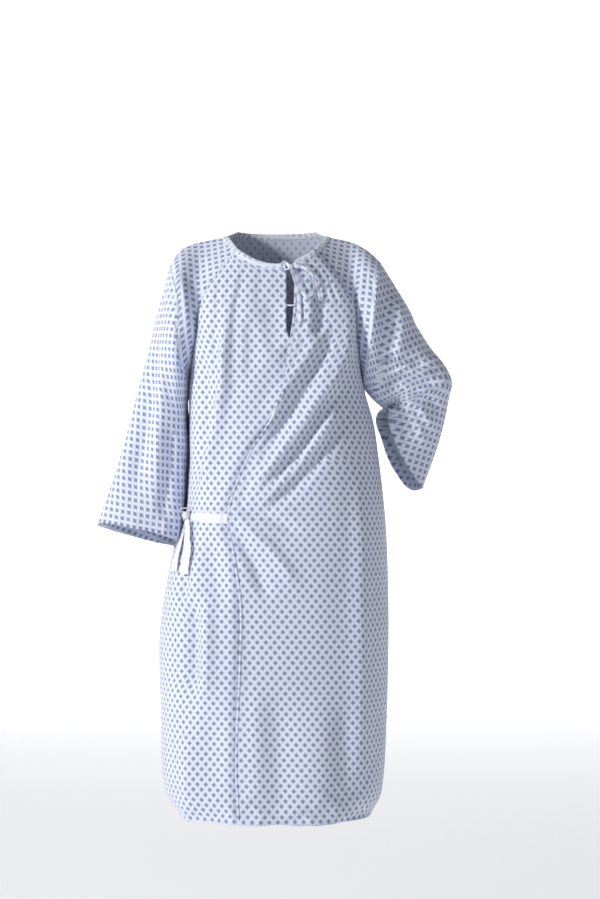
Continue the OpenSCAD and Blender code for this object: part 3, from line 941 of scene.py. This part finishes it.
def turned_edge(name, g, n, uv, width, lip=1.6, pucker=0.35, roll=0.0):
    """A hem: the cloth turned over an edge (the grid's first row) and folded under along it."""
    depths = [0, lip, width / 3, 2 * width / 3, width, lip * 0.5]
    s, m, t = inwards(g, n, uv, depths)
    k = g.shape[1]
    way = unit(s[1] - s[0])
    ripple = pucker * np.sin(np.arange(k) * 1.9 + 1.3 * np.sin(np.arange(k) * 0.37))[:, None]
    over = THICKNESS / 2
    ring = [
        s[1] + m[1] * (over + 0.15 - 0.25 * roll),
        s[5] + m[5] * (over + 0.6 + roll + 1.6 * ripple),
        s[0] + m[0] * (over + 0.75 + 0.7 * roll + ripple) + way * 0.5,
        s[0] + m[0] * (over * 0.4 + ripple) - way * 1.3,
        s[0] - m[0] * (over + 0.7) - way * 1.1,
        s[1] - m[1] * (over + 1.3),
        s[2] - m[2] * (over + 1.2),
        s[3] - m[3] * (over + 1.2),
        s[4] - m[4] * (over + 1.15) + way * 0.6,
        s[4] - m[4] * (over + 0.25),
        s[3] - m[3] * (over + 0.2),
        s[2] - m[2] * (over + 0.2),
        s[1] - m[1] * (over + 0.1),
        s[1] + m[1] * (over - 0.2),
    ]
    pick = [1, 5, 0, 0, 0, 1, 2, 3, 4, 4, 3, 2, 1, 1]
    rings, maps = outwards(np.stack(ring, 1), np.stack([t[i] for i in pick], 1))
    return tube(name, rings, maps, HEM_PAINTED_SHADE)


def resampled(path, pitch):
    far = np.concatenate([[0], np.cumsum(np.linalg.norm(np.diff(path, axis=0), axis=1))])
    count = max(int(far[-1] / pitch), 1)
    at = (np.arange(count) + 0.5) * far[-1] / count
    return at, far


def read_at(at, far, values):
    """Points or normals along a line, read at the distances at."""
    return np.stack([np.interp(at, far, values[:, c]) for c in range(3)], 1)


def stitches(name, lines, pitch=3.3, length=2.5, radius=0.28):
    """Rows of lockstitches lying on the cloth. Each line is its points and the cloth's normals there."""
    ring_share = np.array([-0.5, -0.32, 0.32, 0.5])
    ring_size = np.array([0.45, 1.0, 1.0, 0.45])
    sides = 5
    angle = 2 * np.pi * np.arange(sides) / sides
    cos_angle, sin_angle = np.cos(angle)[:, None], np.sin(angle)[:, None]
    verts, faces, start = [], [], 0
    for path, normal in lines:
        at, far = resampled(path, pitch)
        centre = read_at(at, far, path)
        ahead = unit(read_at(at + 0.5, far, path) - read_at(at - 0.5, far, path))
        up = unit(read_at(at, far, normal))
        side = unit(np.cross(ahead, up))
        for c, a, u, w in zip(centre, ahead, up, side):
            rings = [
                c + a * length * share + radius * size * (cos_angle * w + sin_angle * u * 0.8)
                for share, size in zip(ring_share, ring_size)
            ]
            verts.append(np.concatenate(rings))
            for r in range(3):
                for k in range(sides):
                    j = (k + 1) % sides
                    low, high = start + r * sides, start + (r + 1) * sides
                    faces.append([low + k, high + k, high + j, low + j])
            faces.append([start + k for k in range(sides)])
            faces.append([start + 3 * sides + k for k in range(sides)][::-1])
            start += 4 * sides
    verts = np.concatenate(verts)
    return piece(name, verts, faces, verts[:, [0, 2]], [THREAD])


def stitch_line(g, n, uv, distance, side=1):
    s, m, _ = inwards(g, n, uv, [distance])
    return s[0] + side * m[0] * (THICKNESS / 2 + 0.12), side * m[0]


def smooth(path, count):
    """A smooth curve through given points."""
    path = np.array(path, float)
    far = np.concatenate([[0], np.cumsum(np.linalg.norm(np.diff(path, axis=0), axis=1))])
    at = np.linspace(0, far[-1], count)
    t = np.concatenate([far[:, None], path], 1)
    return np.stack([curve(t, at, c + 1) for c in range(path.shape[1])], 1)


def ribbon(name, path, across, width, thickness, material, curl=0.0, sides=6):
    """A flat strip along a path; across is the direction of its width at each point."""
    ahead = unit(np.gradient(path, axis=0))
    across = unit(across - ahead * (across * ahead).sum(1)[:, None])
    up = np.cross(across, ahead)
    far = np.concatenate([[0], np.cumsum(np.linalg.norm(np.diff(path, axis=0), axis=1))])
    s = np.linspace(-1, 1, sides + 1)
    width = np.broadcast_to(np.asarray(width, float), (len(path),))
    top = [(a, 0.5 * (1 - 0.6 * abs(a) ** 6), curl * (a * a - 0.4)) for a in s]
    profile = top + [(a, -h, c) for a, h, c in top[::-1]]
    rings, maps = [], []
    for a, h, c in profile:
        rings.append(path + across * (a * width / 2)[:, None] + up * (h * thickness + c))
        maps.append(np.stack([a * width / 2, far], 1))
    rings, maps = np.stack(rings, 1), np.stack(maps, 1)
    centre = rings.mean(1)
    turn = np.cross(rings[0] - centre[0], np.roll(rings[0], -1, 0) - centre[0]).sum(0)
    if turn @ ahead[0] < 0:
        rings, maps = rings[:, ::-1], maps[:, ::-1]
    return tube(name, rings, maps, material)


# Where the moving pieces take over from the still ones: points in metres
RIGHT_ARM = ("torso", "right_arm", (-0.2418, 0, -0.1155), (-0.3429, 0, -0.1638))
LEFT_ARM = ("torso", "left_arm", (0.2472, 0, -0.1181), (0.3338, 0, -0.1595))
APEX = Vector((CREASE_TOP[1] * MM, -0.1467, CREASE_TOP[0] * MM))
FLAP_WAY = Vector((-0.5, 0, -0.866))
FLAP = ("torso", "front_flap", tuple(APEX + FLAP_WAY * 0.014), tuple(APEX + FLAP_WAY * 0.085))


def bend(obj):
    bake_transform(obj)
    return obj


def place(obj, joint):
    """Puts a piece on one body; a piece given a joint between two bodies only has its transform baked."""
    if isinstance(joint, str):
        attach(obj, joint)
    else:
        bend(obj)


def make_panels():
    made = {}
    for name, (g, n, uv, flip) in PANELS.items():
        made[name] = slab(name, g, n, uv, flip)
    # The left front is a grid with a step in its edge, so its faces are picked from the whole grid
    keep = np.ones((left_all.shape[0] - 1, left_all.shape[1] - 1), bool)
    keep[:apex_row, : n_flap - 1] = False
    made["left_front_panel"] = stepped_slab("left_front_panel", left_all, left_normals, left_map, keep)
    return made


def stepped_slab(name, g, n, uv, keep):
    rows, columns = g.shape[:2]
    half = n * THICKNESS / 2
    verts = np.concatenate([(g + half).reshape(-1, 3), (g - half).reshape(-1, 3)])
    outer = grid_faces(g.shape, 1)[keep.ravel()]
    inner = outer[:, ::-1] + rows * columns
    edges = {}
    for f in outer.tolist():
        for a, b in zip(f, f[1:] + f[:1]):
            edges[(a, b)] = True
    rim = [[b, a, a + rows * columns, b + rows * columns] for a, b in edges if (b, a) not in edges]
    faces = np.concatenate([outer, inner, np.array(rim)])
    picks = np.concatenate([np.zeros(len(outer)), np.ones(len(inner)), np.zeros(len(rim))])
    used = np.unique(faces)
    number = np.full(len(verts), -1)
    number[used] = np.arange(len(used))
    maps = np.concatenate([uv.reshape(-1, 2)] * 2)[used]
    faces, picks = without_slivers(verts[used], number[faces], picks)
    return piece(name, verts[used], faces, maps, (PRINT, REVERSE), picks)


panels = make_panels()
for name in ("back_panel", "right_front_panel", "left_front_panel", "right_sleeve_head", "left_sleeve_head"):
    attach(panels[name], "torso")
    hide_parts(name)
bend(panels["right_sleeve"])
bend(panels["left_sleeve"])
bend(panels["front_wrap_flap"])
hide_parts("right_sleeve", "right_sleeve_bend")
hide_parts("left_sleeve", "left_sleeve_bend")
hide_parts("front_wrap_flap")

# ---------------------------------------------------------------- hems, facings and the binding


def flipped(columns):
    """A panel turned so that the first of its columns becomes its first row."""
    return tuple(np.ascontiguousarray(np.swapaxes(a, 0, 1)) for a in columns)


def first_rows(panel):
    return tuple(a[:12] for a in panel[:3])


left_front = (left_all, left_normals, left_map)
right_front = (right_all, right_normals, right_map)
back = PANELS["back_panel"][:3]
HEM_WIDE, CUFF_WIDE, FACING_WIDE = 20.0, 18.0, 14.0


def columns_of(panel, a, b):
    return tuple(g[:, a:b] for g in panel)


def last_rows(panel):
    return tuple(g[::-1][:14] for g in panel[:3])


def rows_of(panel, a, b):
    return tuple(g[a:b] for g in panel)


flap_panel = PANELS["front_wrap_flap"][:3]
slit_side = flipped(rows_of(columns_of(left_front, 0, 20), apex_row, None))
edges = {
    "back_hem": (first_rows(back), HEM_WIDE, "torso"),
    "right_front_hem": (first_rows(right_front), HEM_WIDE, "torso"),
    "left_front_hem": (first_rows(columns_of(left_front, n_flap - 1, None)), HEM_WIDE, "torso"),
    "flap_hem": (first_rows(flap_panel), HEM_WIDE, FLAP),
    "right_cuff_hem": (last_rows(PANELS["right_sleeve"]), CUFF_WIDE, RIGHT_ARM),
    "left_cuff_hem": (last_rows(PANELS["left_sleeve"]), CUFF_WIDE, LEFT_ARM),
    "wrap_edge_facing": (flipped(rows_of(columns_of(flap_panel, 0, 20), 2, None)), FACING_WIDE, FLAP),
    "slit_left_facing": (slit_side, FACING_WIDE * 0.7, "torso"),
}
under_side = flipped(tuple(g[2:, ::-1][:, :20] for g in right_front))
edges["underlap_facing"] = (under_side, FACING_WIDE * 0.8, "torso")
ROLLED = {"lip": 4.2, "pucker": 0.6, "roll": 0.9}
ROLLED_EDGES = ("wrap_edge_facing", "slit_left_facing")
bands = {}
for name, (part, width, joint) in edges.items():
    bands[name] = turned_edge(name, *part, width, **(ROLLED if name in ROLLED_EDGES else {}))
    place(bands[name], joint)
    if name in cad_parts:
        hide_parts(name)


# The edges that have stitching, by the body that carries them or the joint that they lie across
STITCHED = {
    "torso": ("torso", ("back_hem", "right_front_hem", "left_front_hem", "slit_left_facing")),
    "flap": (FLAP, ("flap_hem", "wrap_edge_facing")),
    "right_arm": (RIGHT_ARM, ("right_cuff_hem",)),
    "left_arm": (LEFT_ARM, ("left_cuff_hem",)),
}


def seam_stitches():
    for where, (joint, names) in STITCHED.items():
        lines = []
        for name in names:
            part, width, _ = edges[name]
            lines += [stitch_line(*part, width - 1.5, side=side) for side in (1, -1)]
            if "facing" in name:
                lines.append(stitch_line(*part, 6.2))
        place(stitches(f"stitches_{where}", lines), joint)


seam_stitches()

BINDING_WIDE = 9.0


def neck_ring():
    """The neck edge from the right side of the slit, over both shoulders, to its left side."""
    width, depth = P["right"].shape[1], 12
    parts = [
        (right_all[:, :width][::-1, ::-1], right_normals[:, :width][::-1, ::-1]),
        (P["right_head"][:, 1:], N["right_head"][:, 1:]),
        (P["back"][::-1, 1:], N["back"][::-1, 1:]),
        (P["left_head"][:, ::-1][:, 1:], N["left_head"][:, ::-1][:, 1:]),
        (left_all[::-1, ::-1][:, 1:], left_normals[::-1, ::-1][:, 1:]),
    ]
    g = np.concatenate([place[:depth] for place, _ in parts], 1)
    n = np.concatenate([normal[:depth] for _, normal in parts], 1)
    u = np.concatenate([[0], np.cumsum(np.linalg.norm(np.diff(g[0], axis=0), axis=1))])
    v = np.arange(depth) * 4.0
    # The binding is cut on the bias
    around, down = u[None, :] * 0.7071, v[:, None] * 0.7071
    uv = np.stack(np.broadcast_arrays(around - down, around + down), -1)
    return g, n, uv


def neck_binding():
    g, n, uv = neck_ring()
    s, m, t = inwards(g, n, uv, [0, 0.5 * BINDING_WIDE, BINDING_WIDE])
    way = unit(s[1] - s[0])
    over = THICKNESS / 2
    k = np.arange(g.shape[1])
    pucker = (0.3 * np.sin(k * 1.7 + np.sin(k * 0.31)))[:, None]
    ring = [
        s[2] + m[2] * (over + 0.15),
        s[2] + m[2] * (over + 0.8) - way * 0.3,
        s[1] + m[1] * (over + 1.35 + pucker),
        s[0] + m[0] * (over + 1.2 + pucker) - way * 0.6,
        s[0] + m[0] * 0.5 - way * 2.0,
        s[0] - m[0] * (over + 0.5) - way * 1.7,
        s[1] - m[1] * (over + 1.3),
        s[2] - m[2] * (over + 0.8),
        s[2] - m[2] * (over + 0.15),
        s[1] - m[1] * (over + 0.1),
        s[0] - m[0] * (over + 0.05) + way * 0.3,
        s[0] + m[0] * (over + 0.05) + way * 0.3,
        s[1] + m[1] * (over + 0.1),
    ]
    pick = [2, 2, 1, 0, 0, 0, 1, 2, 2, 1, 0, 0, 1]
    rings, maps = outwards(np.stack(ring, 1), np.stack([t[i] for i in pick], 1))
    obj = tube("neck_binding", rings, maps, BINDING_PAINTED_HIGHLIGHT)
    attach(obj, "torso")
    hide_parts("neck_binding")
    line = s[2] + m[2] * (over + 0.75) - way * 1.2, m[2]
    sewn = stitches("stitches_neck", [line])
    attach(sewn, "torso")


neck_binding()

# ---------------------------------------------------------------- ties and knots


def front_tree(*grids):
    verts, polygons, start = [], [], 0
    for g in grids:
        verts.append(g.reshape(-1, 3))
        polygons.append(grid_faces(g.shape, 1) + start)
        start += g.shape[0] * g.shape[1]
    return BVHTree.FromPolygons(np.concatenate(verts).tolist(), np.concatenate(polygons).tolist())


FRONT_TREE = front_tree(left_all, right_all)
RIGHT_TREE = front_tree(right_all)


def on_cloth(x, z, lift, tree=FRONT_TREE):
    """The point a given height off the cloth at x, z, and the cloth's normal there."""
    hit, normal, _, _ = tree.ray_cast(Vector((x, -400, z)), Vector((0, 1, 0)))
    if hit is None:
        # Over the open slit, or just past an edge: as high as the cloth on the nearest side
        for step in (4, -4, 8, -8, 12, -12, 16, -16, 22, -22):
            near, normal, _, _ = tree.ray_cast(Vector((x + step, -400, z)), Vector((0, 1, 0)))
            if near is None:
                near, normal, _, _ = tree.ray_cast(Vector((x + step, -400, z + step)), Vector((0, 1, 0)))
            if near is not None:
                hit = Vector((x, near.y, z))
                break
    normal = np.array(normal) if normal.y < 0 else -np.array(normal)
    return np.array(hit) + normal * lift, normal


def cloth_path(points, lift, count, tree=FRONT_TREE, blur=2):
    """A path over the cloth through points x, z, that rides over its hollows."""
    flat = smooth(points, count)
    got = [on_cloth(x, z, 0, tree) for x, z in flat]
    path = np.array([g[0] for g in got])
    normal = np.array([g[1] for g in got])
    for _ in range(blur):
        wide = np.concatenate([path[:1], path, path[-1:]])
        path[:, 1] = np.minimum(path[:, 1], (wide[:-2, 1] + wide[1:-1, 1] + wide[2:, 1]) / 3)
        wide = np.concatenate([normal[:1], normal, normal[-1:]])
        normal = unit(wide[:-2] + wide[1:-1] + wide[2:])
    return path + normal * np.broadcast_to(lift, (count,))[:, None], normal


def strip_on(name, points, lift, width, material, body, twist, thick=1.0, tree=FRONT_TREE, curl=0.0):
    """A strip that hangs along a line on the cloth; lift and twist give one value for each station."""
    count = len(lift)
    path, normal = cloth_path(points, lift, count, tree)
    ahead = unit(np.gradient(path, axis=0))
    across = unit(np.cross(ahead, normal))
    up = np.cross(across, ahead)
    a = np.radians(twist)[:, None]
    obj = ribbon(name, path, across * np.cos(a) + up * np.sin(a), width, thick, material, curl)
    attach(obj, body)
    return obj, path


def winding(turns, share, seed):
    """Which way from a knot's middle its strip lies at a share of its length, and the angle round."""
    lon = 2 * math.pi * turns * share
    lat = 0.95 * math.sin(2 * math.pi * share * (turns - 1) + seed)
    return np.array([math.cos(lat) * math.cos(lon), math.cos(lat) * math.sin(lon) * 0.9, math.sin(lat)]), lon


def knot(name, centre, radius, material, body, turns, seed):
    """A tied knot: a strip wound over itself into a small tight ball, pulled narrow between its turns."""
    rings, maps = [], []
    sides, count = 10, 46 * turns
    centre = np.array(centre, float)
    a = 2 * np.pi * np.arange(sides) / sides
    for i in range(count):
        t = i / count
        way, lon = winding(turns, t, seed)
        next_way, _ = winding(turns, t + 0.02 / (2 * math.pi * turns), seed)
        ahead = (next_way - way) / np.linalg.norm(next_way - way)
        across = np.cross(ahead, way / np.linalg.norm(way))
        size = radius * (0.80 + 0.05 * math.sin(5 * lon))
        ring = (
            centre
            + way * size
            + np.cos(a)[:, None] * across * radius * 0.42
            + np.sin(a)[:, None] * way * radius * 0.20
        )
        rings.append(ring)
        maps.append(np.stack([np.cos(a) * radius * 0.42, np.full(sides, lon * radius)], 1))
    rings, maps = np.array(rings), np.array(maps)
    obj = tube(name, rings, maps, material, closed=True)
    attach(obj, body)
    return obj


def core(name, centre, radii, material, body):
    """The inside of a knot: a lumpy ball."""
    n, m = 12, 16
    rings, maps = [], []
    for i in range(n + 1):
        lat = math.pi * (0.04 + 0.92 * i / n) - math.pi / 2
        a = 2 * np.pi * np.arange(m) / m
        lump = 1 + 0.06 * np.cos(3 * a + 2 * lat)
        ring = np.stack([
            math.cos(lat) * np.cos(a) * lump * radii[0],
            math.cos(lat) * np.sin(a) * lump * radii[1],
            np.full(m, math.sin(lat) * radii[2]),
        ], 1)
        rings.append(np.array(centre) + ring)
        maps.append(np.stack([a * radii[0], np.full(m, lat * radii[2])], 1))
    rings, maps = outwards(np.array(rings), np.array(maps))
    obj = tube(name, rings, maps, material)
    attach(obj, body)
    return obj


# Each strip: its line of x, z, shares and heights off the cloth, width, body, stations, twist
NECK_STRIPS = {
    "neck_bow_loop": (
        [(33, -66), (41, -61), (52, -62), (64, -74), (71, -95), (69, -116), (60, -126), (51, -114), (43, -92),
         (34, -74)],
        ([0, 0.15, 0.5, 0.85, 1], [7.5, 9, 9, 6, 6.5]), 6.5, "torso", 44, (35, -30),
    ),
    "neck_bow_small_loop": (
        [(26, -66), (18, -60), (14, -66), (16, -74), (25, -73)],
        ([0, 1], [6.5, 6.5]), 5.5, "torso", 26, (40, 40),
    ),
    "neck_tail_long": (
        [(31, -75), (37, -92), (42, -110), (45, -135), (46, -172)],
        ([0, 0.2, 1], [6, 5.0, 4.5]), 6.5, "long_tail", 34, (25, -12),
    ),
    "neck_tail_short": (
        [(36, -69), (48, -70), (60, -77), (70, -90), (79, -109), (90, -131)],
        ([0, 0.2, 1], [9.5, 11, 6.5]), 6.0, "short_tail", 34, (-20, 25),
    ),
    "slit_tie": (
        [(14, -136), (23, -138.5), (33, -139), (44, -136)],
        ([0, 1], [1.6, 1.6]), 2.6, "torso", 20, (0, 0),
    ),
}


def neck_ties():
    centre, _ = on_cloth(29, -69, 7)
    ball = knot("neck_knot", centre, 6.0, BINDING_PAINTED_HIGHLIGHT, "torso", 3, 0.6)
    core("neck_knot_core", centre, (4.6, 4.2, 4.6), BINDING_PAINTED_HIGHLIGHT, "torso")
    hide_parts("neck_knot")
    for name, (points, (shares, heights), width, body, count, turn) in NECK_STRIPS.items():
        lift = np.interp(np.linspace(0, 1, count), shares, heights)
        strip, _ = strip_on(name, points, lift, width, BINDING_PAINTED_HIGHLIGHT, body, np.linspace(*turn, count))
        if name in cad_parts:
            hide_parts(name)


neck_ties()

TAPE_WIDE, TAPE_THICK, TIE_Z = 18.0, 1.1, -529.0
# Each tail: its line of x, z, height off the cloth, body, twist
WAIST_TAILS = {
    "waist_tail_front": (
        [(-153, -534), (-152, -552), (-155, -578), (-159, -605), (-162, -634)], 9.0, "front_tail", (12, -14),
    ),
    "waist_tail_rear": (
        [(-159, -534), (-163, -552), (-170, -578), (-177, -602), (-182, -628)], 4.5, "rear_tail", (-25, 10),
    ),
}


def tape(name, path, up, width, body, curl):
    """A white tape with an edge turned the way up points, which stands for the CAD node of its name."""
    obj = ribbon(name, path, up, width, TAPE_THICK, TAPE, curl=curl)
    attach(obj, body)
    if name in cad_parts:
        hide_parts(name)
    return obj


def outer_waist_tie():
    """The outer tie runs taut from under the flap's edge to the knot, and is tacked down."""
    start, _ = on_cloth(-88, TIE_Z, 1.6, RIGHT_TREE)
    edge, _ = on_cloth(-84, TIE_Z, 1.2)
    start = (start + edge) / 2
    end, _ = on_cloth(-150, TIE_Z + 2, 5, RIGHT_TREE)
    count = 30
    t = np.linspace(0, 1, count)
    path = mix(start, end, t[:, None])
    for i, p in enumerate(path):
        hit, _ = on_cloth(p[0], p[2], 1.8, RIGHT_TREE)
        path[i, 1] = min(p[1], hit[1])
    path[1:-1] = (path[:-2] + path[1:-1] + path[2:]) / 3
    path[:, 2] -= 1.2 * np.sin(np.pi * t)
    width = TAPE_WIDE - 6.5 * ease((t - 0.72) / 0.28)
    obj = tape("outer_waist_tie", path, np.tile([0.0, 0.05, 1.0], (count, 1)), width, "front_flap", 0.5)
    corners = ((1, -8), (1, 8), (9, 8), (9, -8), (1, -8))
    sewn = np.array([on_cloth(path[0, 0] + dx, path[0, 2] + dz, 0.7)[0] for dx, dz in corners])
    facing = np.tile([0.0, -1.0, 0.0], (len(corners), 1))
    bend(stitches("stitches_waist_tie", [(sewn, facing)]))
    return obj, path


def waist_bow_loop(knot_centre):
    """A small loop that stands above the knot."""
    count = 30
    a = (np.linspace(-0.5, 1, count) + 0.5) / 1.5
    shape = np.stack([
        -4 + 7 * np.sin(np.pi * 2 * a),
        -3 + 3 * np.cos(np.pi * 2 * a),
        4 + 9.5 * np.sin(np.pi * a),
    ], 1)
    tape("waist_bow_loop", knot_centre + shape, np.tile([0.15, 1.0, 0.1], (count, 1)), 9.0, "torso", 0.4)


def side_waist_tie(knot_centre):
    """The side tie comes from the side seam to the knot."""
    count = 24
    t = np.linspace(0, 1, count)
    start = knot_centre + np.array([-3, 4, 0])
    path = np.array([mix(start, np.array([-170.5, 4, TIE_Z]), share) for share in t])
    path[:, 0] -= 2.5 * np.sin(np.pi * t)
    width = TAPE_WIDE - 6 * ease((0.35 - t) / 0.35)
    return tape("side_waist_tie", path, np.tile([-0.05, 0.0, 1.0], (count, 1)), width, "torso", 0.4), path


def inner_tie(name, xs):
    """One of the ties that are joined inside the gown, at the wearer's left."""
    count = 20
    got = [on_cloth(x, TIE_Z, -8.0 if x < 190 else -6.0) for x in np.linspace(*xs, count)]
    path = np.array([g[0] for g in got])
    return tape(name, path, np.tile([0.0, 0.0, 1.0], (count, 1)), TAPE_WIDE, "torso", 0.3), path


def waist_ties():
    tapes = [outer_waist_tie()]
    knot_centre, _ = on_cloth(-156, TIE_Z + 3, 8, RIGHT_TREE)
    ball = knot("waist_knot", knot_centre, 8.0, TAPE, "torso", 3, 0.2)
    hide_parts("waist_knot")
    core("waist_knot_core", knot_centre, (6.2, 5.6, 6.6), TAPE, "torso")
    waist_bow_loop(knot_centre)
    for name, (points, height, body, turn) in WAIST_TAILS.items():
        count = 34
        lift = np.linspace(height + 1, height, count)
        width = TAPE_WIDE * np.interp(np.linspace(0, 1, count), [0, 0.25, 0.6, 1], [0.6, 0.8, 0.95, 1.0])
        twist = np.linspace(*turn, count)
        tail, path = strip_on(name, points, lift, width, TAPE, body, twist, TAPE_THICK, RIGHT_TREE, 0.8)
        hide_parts(name)
        tapes.append((tail, path))
    tapes.append(side_waist_tie(knot_centre))
    tapes.append(inner_tie("inner_underlap_tie", (95, 141)))
    tapes.append(inner_tie("inner_side_tie", (142, 200)))


waist_ties()

# ---------------------------------------------------------------- studio
# The wall is further off than the camera, so that it never stands between them
FLOOR_Z, FLOOR_FRONT, WALL_Y, WALL_TOP, HALF_WIDE = -1.62, -7, 6.5, 5, 16


def studio_plane(name, corners, base, glow, rough):
    """A plane of the studio that shines a little itself."""
    material = bpy.data.materials.new(name)
    material.use_nodes = True
    inputs = material.node_tree.nodes["Principled BSDF"].inputs
    inputs["Base Color"].default_value = (*base, 1)
    inputs["Emission Color"].default_value = (1, 1, 1, 1)
    inputs["Emission Strength"].default_value = glow
    inputs["Roughness"].default_value = rough
    mesh = bpy.data.meshes.new(name)
    mesh.from_pydata(corners, [], [(0, 1, 2, 3)])
    mesh.materials.append(material)
    obj = bpy.data.objects.new(name, mesh)
    scene.collection.objects.link(obj)


def make_studio():
    left, right = -HALF_WIDE, HALF_WIDE
    far_edge = [(right, WALL_Y, FLOOR_Z), (left, WALL_Y, FLOOR_Z)]
    ground = [(left, FLOOR_FRONT, FLOOR_Z), (right, FLOOR_FRONT, FLOOR_Z), *far_edge]
    wall = [*far_edge[::-1], (right, WALL_Y, WALL_TOP), (left, WALL_Y, WALL_TOP)]
    studio_plane("floor", ground, (0.94, 0.94, 0.95), 0.2, 0.9)
    studio_plane("backdrop", wall, (0.9, 0.9, 0.9), 0.9, 0.5)


def area_light(name, place, target, size, power, colour=(1, 1, 1)):
    data = bpy.data.lights.new(name, "AREA")
    data.shape = "DISK"
    data.size = size
    data.energy = power
    data.color = colour
    light = bpy.data.objects.new(name, data)
    scene.collection.objects.link(light)
    light.location = place
    light.rotation_euler = (Vector(target) - Vector(place)).to_track_quat("-Z", "Y").to_euler()


make_studio()
area_light("key", (-3.2, -2.1, 1.1), (0, 0, -0.5), 0.7, 138, (1.0, 0.99, 0.975))
area_light("fill", (1.6, -4.0, 0.0), (0, 0, -0.5), 2.6, 14, (0.9, 0.94, 1.0))
world = bpy.data.worlds.new("studio") if scene.world is None else scene.world
scene.world = world
world.use_nodes = True
world.node_tree.nodes["Background"].inputs["Color"].default_value = (0.93, 0.95, 1.0, 1)
world.node_tree.nodes["Background"].inputs["Strength"].default_value = 0.23
scene.view_settings.view_transform = "Standard"
